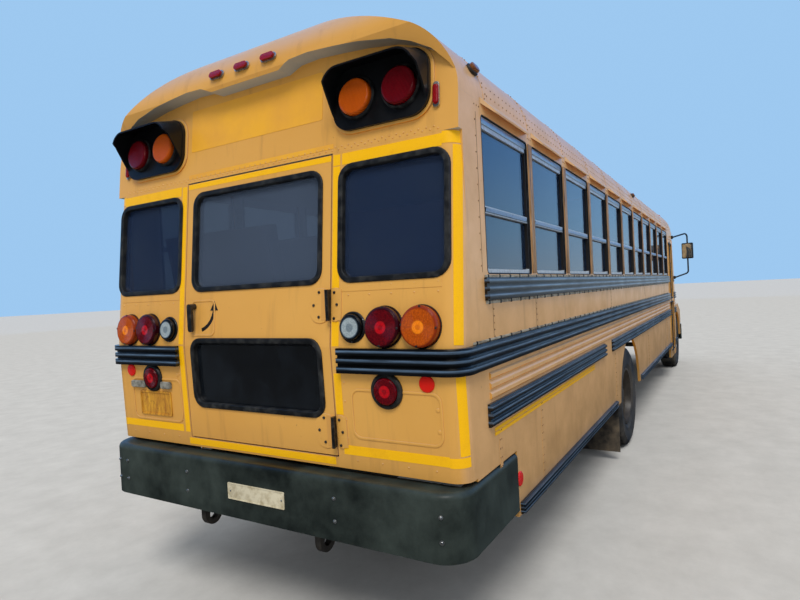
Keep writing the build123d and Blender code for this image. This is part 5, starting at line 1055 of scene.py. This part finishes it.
def clock(spot, side, radius, turns, out):
    """Places on a circle about a lamp, at the given angles."""
    across, height = spot
    return [on_rear(side * across + radius * cos(radians(turn)), height + radius * sin(radians(turn)), out)
            for turn in turns]


rings, screws, notches = [], [], []
for side in BOTH:
    for spot, radius, wide in ((TURN_SPOT, BIG_LAMP, 0.005), (BRAKE_SPOT, BIG_LAMP, 0.005),
                               (BACKING_SPOT, SMALL_LAMP, 0.013)):
        rings.append(collar(radius, [(wide, 0.0), (wide, 0.003), (0.7 * wide, 0.007), (0.3 * wide, 0.007),
                                     (0.0006, 0.004), (0.0006, 0.0), (wide, 0.0)],
                            on_rear(side * spot[0], spot[1], 0.0003)))
        if radius == SMALL_LAMP:
            screws += clock(spot, side, radius + 0.007, (30, 150, 270), 0.006)
        else:
            # Painted shade: the rim's notches are drawn as small black discs, dark as their shade.
            notches += clock(spot, side, NOTCH_CIRCLE, (5, 95, 185, 275), LENS_FACE)
    rings.append(collar(0.0, STOP_RING, on_rear(side * STOP_SPOT[0], STOP_SPOT[1], 0.0003)))
settle(rings, "lamp_rings", black_rubber)
settle(copies(turned([(0.0062, 0.0), (0.0062, 0.0022), (0.0045, 0.0030)], 12), notches),
       "lens_notches", black_rubber)
settle(copies(rivet(0.0036, 0.0018), screws), "lamp_screws", bright)

WARNING_Y, WARNING_Z, WARNING_RADIUS, POD_PROUD = (0.706, 0.949), 2.709, 0.088, 0.030
WARNING_RING = [(0.016, 0.0), (0.014, 0.012), (0.006, 0.018), (0.0006, 0.012), (0.0006, 0.0), (0.016, 0.0)]
FRONT_RING = [(0.014, 0.0), (0.012, 0.010), (0.0006, 0.010), (0.0006, 0.0), (0.014, 0.0)]
FRONT_SHIFT, FRONT_WARNING_Z = 0.205, 2.830
FRONT_LENS_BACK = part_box("lamp_pods")[1].x - 0.130 + 0.0003
settle([collar(WARNING_RADIUS, WARNING_RING, on_rear(side * across, WARNING_Z, POD_PROUD + 0.0003))
        for side in BOTH for across in WARNING_Y], "warning_rings", black_rubber)
settle([collar(WARNING_RADIUS, FRONT_RING,
               facing((FRONT_LENS_BACK, side * (across - FRONT_SHIFT), FRONT_WARNING_Z), (1, 0, 0)))
        for side in BOTH for across in WARNING_Y], "front_warning_rings", black_rubber)
settle([panel(side * 0.546, side * 1.107, 2.550, 2.897, 0.010, corner=(0.116, 6), edge=(0.003, 2), band=0.020)
        for side in BOTH], "pod_flanges", trim_enamel)


def markers(places, width, height, corner, deep):
    """Bases and lenses of small lamps: two stacked plates with round edges at each place."""
    base = plate(width, height, deep * 0.5, (corner, 6), (deep * 0.2, 2))
    cover = plate(width * 0.86, height * 0.76, deep, (corner * 0.8, 6), (deep * 0.4, 3))
    return copies(base, places), copies(cover, places)


BROW_SPOT, BROW_TILT, BROW_LAMPS = (0.047, 3.022), radians(14), (-0.193, 0.0, 0.193)
EDGE_LAMP, CLEARANCE_STATIONS, CLEARANCE_RUN = (1.116, 2.644), (0.349, 5.209), 0.160
brow_out = Vector((-cos(BROW_TILT), 0, sin(BROW_TILT)))
brow_places = [facing(Vector((REAR + BROW_SPOT[0], across, BROW_SPOT[1])) - brow_out * 0.002, brow_out)
               for across in BROW_LAMPS]
brow_bases, brow_covers = markers(brow_places, 0.106, 0.046, 0.022, 0.024)
edge_places = [on_rear(side * EDGE_LAMP[0], EDGE_LAMP[1], 0.001) for side in BOTH]
edge_bases, edge_covers = markers(edge_places, 0.034, 0.118, 0.016, 0.022)
settle(brow_bases + edge_bases, "marker_bases", bright)
settle(brow_covers + edge_covers, "marker_lenses", stop_lens)
side_places = [on_roof(station, run, -0.002) for run in (CLEARANCE_RUN, ARCH_RUN - CLEARANCE_RUN)
               for station in CLEARANCE_STATIONS]
side_bases, side_covers = markers(side_places, 0.085, 0.056, 0.026, 0.034)
settle(side_bases, "clearance_bases", dark_metal)
settle(side_covers, "clearance_lenses", lens("dull_lens", (146, 92, 52), (84, 54, 36)))

reflectors = [on_rear(side * 1.052, 1.372) for side in BOTH] + [on_side(0.665, 0.773, side) for side in BOTH]
settle(copies(turned([(0.038, 0.0), (0.038, 0.005), (0.034, 0.0085), (0.020, 0.0095)], 40), reflectors),
       "round_reflectors", lens("reflector_red", (232, 34, 16), (206, 20, 12), 300.0))
grommets = [on_rear(-1.097, 1.258), on_rear(-1.100, 1.162), on_rear(0.620, 1.353)]
settle(copies(turned([(0.010, -0.001), (0.010, 0.002), (0.007, 0.0035)], 20), grommets),
       "grommets", trim_enamel)

# Passenger and driver seats, dashboard.
# Foam cushions and tall backs in sewn grey vinyl on steel legs; each has a crowned top, a welt round its
# seams and a gathered front edge. The dashboard is moulded grey plastic with round dials.
SEAT_WIDTH, SEAT_EDGE, SEAT_ROW = 0.960, 1.157, 0.260
CUSHION_DEEP, CUSHION_HIGH, CUSHION_X, CUSHION_Z = 0.470, 0.114, 0.163, 1.541
BACK_DEEP, BACK_HIGH, BACK_X, BACK_Z = 0.100, 0.735, -0.085, 1.868
BACK_TILT = -atan2(0.110, 0.620)
DRIVER_STATION, DRIVER_Y, DRIVER_WIDTH = BODY_LENGTH - 0.742, 0.620, 0.480
PEDESTAL = [(0.150, 0.0), (0.150, 0.020), (0.070, 0.050), (0.065, 0.330), (0.150, 0.360), (0.170, 0.392)]
vinyl = weathered("seat_vinyl", (126, 116, 118), (150, 140, 138), (2.6, 5.0, 0.6), (0.35, 0.7),
                  Specular_IOR_Level=0.45, Coat_Weight=0.12, Coat_Roughness=0.35)
where = place_on(vinyl)
grain = node(vinyl, "TexVoronoi", {"Vector": where, "Scale": 420.0}).outputs["Distance"]
creases = noise(vinyl, where, 16.0, 6.0, 0.65)
drive(vinyl, Roughness=span(vinyl, creases, 0.3, 0.7, 0.42, 0.62),
      Normal=relief(vinyl, creases, 0.18, 0.008, relief(vinyl, grain, 0.25, 0.0006)))


def pad(length, width, height, crown, pinch, welt):
    """A stuffed pad: a box with pulled-in sides, a crowned face, a swollen middle and welted seams."""
    deselect()
    bpy.ops.mesh.primitive_cube_add(size=1)
    piece = bpy.context.object
    piece.scale = (length, width, height)
    fix(piece)
    with editing():
        bpy.ops.mesh.subdivide(number_cuts=5)
        form = bmesh.from_edit_mesh(piece.data)
        for v in form.verts:
            u, w, h = 2 * v.co.x / length, 2 * v.co.y / width, 2 * v.co.z / height
            pull = pinch * (0.4 + 0.6 * h * h)
            v.co.x -= copysign(pull * (1 - w * w) * abs(u) ** 4, v.co.x) if abs(u) > 0.9 else 0
            v.co.y -= copysign(pull * (1 - u * u) * abs(w) ** 4, v.co.y) if abs(w) > 0.9 else 0
            v.co.z += crown * (1 - u ** 4) * (1 - w ** 4) if h > 0.9 else 0
        bmesh.update_edit_mesh(piece.data)
        bpy.ops.mesh.select_mode(type="EDGE")
        bpy.ops.mesh.select_all(action="DESELECT")
        form = bmesh.from_edit_mesh(piece.data)
        form.normal_update()
        for e in form.edges:
            if len(e.link_faces) == 2 and e.calc_face_angle() > radians(55):
                e.select_set(True)
        bmesh.update_edit_mesh(piece.data)
        bpy.ops.mesh.bevel(offset=welt, segments=3, profile=0.9, affect="EDGES")
    return apply(piece, "SUBSURF", levels=1)


def seat_places(x, z, tilt=0.0):
    """One place on each bench, tilted about the crosswise axis."""
    return [Matrix.Translation((REAR + station + SEAT_ROW + x, side * (SEAT_EDGE - SEAT_WIDTH / 2), z))
            @ Matrix.Rotation(tilt, 4, "Y") for station in POSTS[:BAYS] for side in BOTH]


def driver_pad(length, height, crown, pinch, welt, x, z, tilt):
    spot = Matrix.Translation((REAR + DRIVER_STATION + x, DRIVER_Y, z))
    cushion = pad(length, DRIVER_WIDTH, height, crown, pinch, welt)
    return put(cushion, spot @ Matrix.Rotation(radians(tilt), 4, "Y"))


cushion = pad(CUSHION_DEEP, SEAT_WIDTH - 0.012, CUSHION_HIGH, 0.014, 0.010, 0.010)
cushions = settle(copies(cushion, seat_places(CUSHION_X, CUSHION_Z)), "bench_cushions", vinyl)
back = pad(BACK_DEEP, SEAT_WIDTH - 0.012, BACK_HIGH, 0.006, 0.006, 0.012)
backs = settle(copies(back, seat_places(BACK_X, BACK_Z, BACK_TILT)), "bench_backs", vinyl)
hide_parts("passenger_seats")
driver = settle([driver_pad(0.450, 0.120, 0.014, 0.012, 0.010, 0.185, 1.635, -3),
                 driver_pad(0.105, 0.700, 0.006, 0.012, 0.012, -0.080, 1.960, -7.5)],
                "driver_pads", vinyl)
pedestal = put(turned(PEDESTAL, 28), Matrix.Translation((REAR + DRIVER_STATION + 0.210, DRIVER_Y, 1.1803)))
settle([pedestal], "driver_pedestal", chassis_black)
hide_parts("driver_seat")
dress(black_enamel("leg_grey", (70, 72, 74), (112, 106, 96), 0.5), "seat_legs")

FRONT_STATION, DIAL_Y = 9.897, ((-0.13, 1.63), (0.0, 1.645), (0.13, 1.63), (-0.26, 1.60))
dress(weathered("dash_plastic", (52, 53, 56), (82, 80, 76), (5.0, 5.0, 0.6), gloss=(0.5, 0.7),
                grain=(240.0, 3.0, 0.6, 0.25, 0.001), Specular_IOR_Level=0.4), "dashboard")
dials = [facing((REAR + FRONT_STATION - 0.4203, DRIVER_Y + s, z), (-1, 0, 0)) for s, z in DIAL_Y]
settle(copies(turned([(0.052, 0.0), (0.052, 0.008), (0.047, 0.010), (0.045, 0.004)], 32), dials),
       "dash_dials", dark_metal)

# Entry door, mud flaps and hatches.
# Door leaves are yellow frames with dark panes in rubber and a rubber edge where they meet; the flaps are
# plain rubber sheet, and the roof hatches are white moulded lids.
LEAF_MEETING, MEETING_GAP, SEAL_HALF = 9.222, 0.002, 0.011
PANE_BREAK = (1.360, 1.430)
for name, side in (("rear", -1), ("front", 1)):
    low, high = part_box(f"entry_glass_{name}")
    glazing = []
    for foot, top in ((low.z, PANE_BREAK[0]), (PANE_BREAK[1], high.z)):
        ring = rubber_ring(high.x - low.x + 0.024, top - foot + 0.024, 0.040, 0.022, 0.006)
        glazing.append(put(ring, facing(((low.x + high.x) / 2, -SIDE + 0.001, (foot + top) / 2), (0, -1, 0))))
    settle(glazing, f"entry_rubbers_{name}", black_rubber, f"entry_leaf_{name}")
    station = LEAF_MEETING + side * (MEETING_GAP + SEAL_HALF)
    strip = put(plate(0.018, 2.06, 0.010, (0.004, 2), (0.003, 2)), on_side(station, 1.432, -1, -0.004))
    settle([strip], f"entry_seal_{name}", black_rubber, f"entry_leaf_{name}")
dress(weathered("flap_rubber", (32, 32, 33), (104, 92, 76), (5.0, 6.0, 0.65), (0.4, 0.68), (0.6, 0.85),
                (0.25, 0.004), Specular_IOR_Level=0.35), "mud_flaps")
dress(weathered("hatch_white", (214, 211, 202), (168, 158, 140), (6.0, 6.0, 0.65), (0.42, 0.72), (0.42, 0.62),
                grain=(180.0, 3.0, 0.6, 0.12, 0.001), Specular_IOR_Level=0.45),
      "roof_hatch_rear", "roof_hatch_front")

# Stop arm.
# A red octagon of sheet steel with a pale border and two flashing lamps, on a motor box at its front edge.
# The border is printed on both faces, and the lamps are clamped to the outer one.
STOP_STATION, STOP_Z, STOP_RADIUS, STOP_BAND, STOP_THICK = 8.315, 1.622, 0.221, 0.018, 0.0006
OUTER_FACE, INNER_FACE, STOP_LAMP = SIDE + 0.0622, SIDE + 0.0518, 0.125
dress(weathered("stop_red", (186, 26, 30), (160, 44, 40), (5.0, 6.0, 0.6), (0.38, 0.7), (0.35, 0.55),
                grain=(120.0, 3.0, 0.6, 0.08, 0.001), Specular_IOR_Level=0.5, Coat_Weight=0.2,
                Coat_Roughness=0.25), "stop_arm")
border_white = weathered("border_white", (224, 222, 214), (180, 172, 156), (12.0, 5.0, 0.6),
                         gloss=(0.4, 0.55), Specular_IOR_Level=0.5)
corner = STOP_RADIUS / cos(pi / 8)
border = turned([(corner, 0.0), (corner, STOP_THICK), (corner - STOP_BAND, STOP_THICK),
                 (corner - STOP_BAND, 0.0), (corner, 0.0)], 8, solid=False)
border = fix(put(border, Matrix.Rotation(pi / 8, 4, "Z")))
blade_faces = [facing((REAR + STOP_STATION, OUTER_FACE, STOP_Z), (0, 1, 0)),
               facing((REAR + STOP_STATION, INNER_FACE, STOP_Z), (0, -1, 0))]
settle(copies(border, blade_faces), "stop_border", border_white, "stop_blade", smooth=20)
lamp_body = turned([(0.056, 0.0), (0.056, 0.010), (0.050, 0.016), (0.030, 0.019)], 36)
lamp_spots = [blade_faces[0] @ Matrix.Translation((0, s * STOP_LAMP, 0)) for s in BOTH]
settle(copies(lamp_body, lamp_spots), "stop_lamps", stop_lens, "stop_blade")

# Nose.
# One moulded hood with its fenders tilts forward; it carries a black slatted grille and two square
# headlamps in bright bezels screwed to it.
SLATS, SLAT_STEP, SLAT_LOW, SLAT_WIDTH = 6, 0.068, 0.990, 1.084
HEADLAMP_WIDTH, HEADLAMP_HEIGHT, BEZEL = 0.330, 0.170, 0.014
dress(mirror_black, "grille")
dress(lens("head_lens", (150, 162, 168), (74, 84, 92), 120.0, [(0.880, 0.960)], (232, 238, 240),
           (0.052, 0.150), (90, 98, 104)), "headlamps")
slats = row(plate(SLAT_WIDTH, 0.026, 0.009, (0.006, 2), (0.004, 3)), SLATS, (0, SLAT_STEP, 0))
put(slats, facing((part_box("grille")[1].x + 0.0002, 0, SLAT_LOW), (1, 0, 0)))
settle([slats], "grille_slats", mirror_black, "nose")
low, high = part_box("headlamps")
bezel_places = [facing((high.x - 0.006, side * (high.y - HEADLAMP_WIDTH / 2), (low.z + high.z) / 2),
                       (1, 0, 0)) for side in BOTH]
bezel = rubber_ring(HEADLAMP_WIDTH + 2 * BEZEL, HEADLAMP_HEIGHT + 2 * BEZEL, 0.030, 0.022, 0.010)
settle(copies(bezel, bezel_places), "headlamp_bezels", bright, "nose")

# Windscreen, front cap and mirrors.
# Two flat panes in thick black rubber on the leaning front, two parked wipers, a bare sign sheet between
# the warning lamps and three amber markers over it; the mirrors are silvered glass in black shells.
FRONT_LEAN, SIGN_FACE = 0.27, 9.7383
PANE_MIDDLE, PANE_WIDTH, PANE_FOOT, PANE_TOP, PANE_CORNER = 0.567, 1.084, 1.875, 2.600, 0.070
PANE_HEIGHT = (PANE_TOP - PANE_FOOT) * hypot(1, FRONT_LEAN)
PIVOT = [(0.020, -0.004), (0.020, 0.010), (0.014, 0.022), (0.006, 0.026)]
CAP_LAMPS, CAP_LEAN = ((-0.193, 3.107), (0.0, 3.115), (0.193, 3.107)), radians(30)
HEAD_TURN, HEAD_OUT, HEAD_FACE = radians(12), 0.250, 0.0303


def on_front(across, height, out=0.0):
    """A frame on the leaning windscreen, looking forwards: its own X runs to the road side."""
    outward = Vector((1, 0, FRONT_LEAN)).normalized()
    face = Vector((REAR + FRONT_STATION - FRONT_LEAN * (height - WINDOW_SILL), across, height))
    return facing(face + outward * out, outward, (-FRONT_LEAN, 0, 1))


gaskets, wiper_parts = [], []
for side in BOTH:
    gasket = rubber_ring(PANE_WIDTH + 0.024, PANE_HEIGHT + 0.024, PANE_CORNER + 0.012, 0.030, 0.034)
    gaskets.append(put(gasket, on_front(side * PANE_MIDDLE, (PANE_FOOT + PANE_TOP) / 2, -0.026)))
    wiper_parts.append(put(turned(PIVOT, 20), on_front(side * 0.340, PANE_FOOT - 0.034)))
    arm_place = on_front(side * 0.520, PANE_FOOT + 0.008, 0.020) @ Matrix.Rotation(radians(12), 4, "Z")
    wiper_parts.append(put(plate(0.400, 0.012, 0.006, (0.004, 2), (0.002, 1)), arm_place))
    blade_place = on_front(side * 0.640, PANE_FOOT + 0.056, 0.009) @ Matrix.Rotation(radians(2), 4, "Z")
    wiper_parts.append(put(plate(0.520, 0.010, 0.012, (0.003, 2), (0.003, 1)), blade_place))
settle(gaskets, "windscreen_gaskets", black_rubber)
settle(wiper_parts, "wipers", mirror_black)

front_sign = plate(0.620, 0.200, SIGN_THICK, (0.012, 4))
settle([put(front_sign, facing((REAR + SIGN_FACE + ON_REAR, 0, 2.800), (1, 0, 0)))],
       "front_sign_sheet", sign_yellow)
front_places = [facing((REAR + 9.7105, across, height), (cos(CAP_LEAN), 0, sin(CAP_LEAN)))
                for across, height in CAP_LAMPS]
front_places += [on_roof(9.30, along, -0.002) for along in (0.35, ARCH_RUN - 0.35)]
front_bases, front_covers = markers(front_places, 0.100, 0.044, 0.020, 0.022)
settle(front_bases, "front_marker_bases", bright)
settle(front_covers, "front_marker_lenses", lens("marker_amber", (232, 118, 10), (176, 76, 4)))

mirror_glass = weathered("mirror_glass", (206, 216, 218), (160, 166, 164), (14.0, 5.0, 0.65), (0.4, 0.75),
                         (0.03, 0.12), Metallic=0.9, Roughness=0.06)
head_faces = []
for side in BOTH:
    looking = Vector((-cos(HEAD_TURN), -side * sin(HEAD_TURN), 0))
    head = Vector((REAR + FRONT_STATION + 0.020, side * (SIDE + HEAD_OUT), 2.300))
    head_faces.append(facing(head + looking * HEAD_FACE, looking))
settle(copies(plate(0.168, 0.264, 0.0025, (0.024, 5), (0.001, 2)), head_faces),
       "mirror_faces", mirror_glass)

low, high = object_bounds()
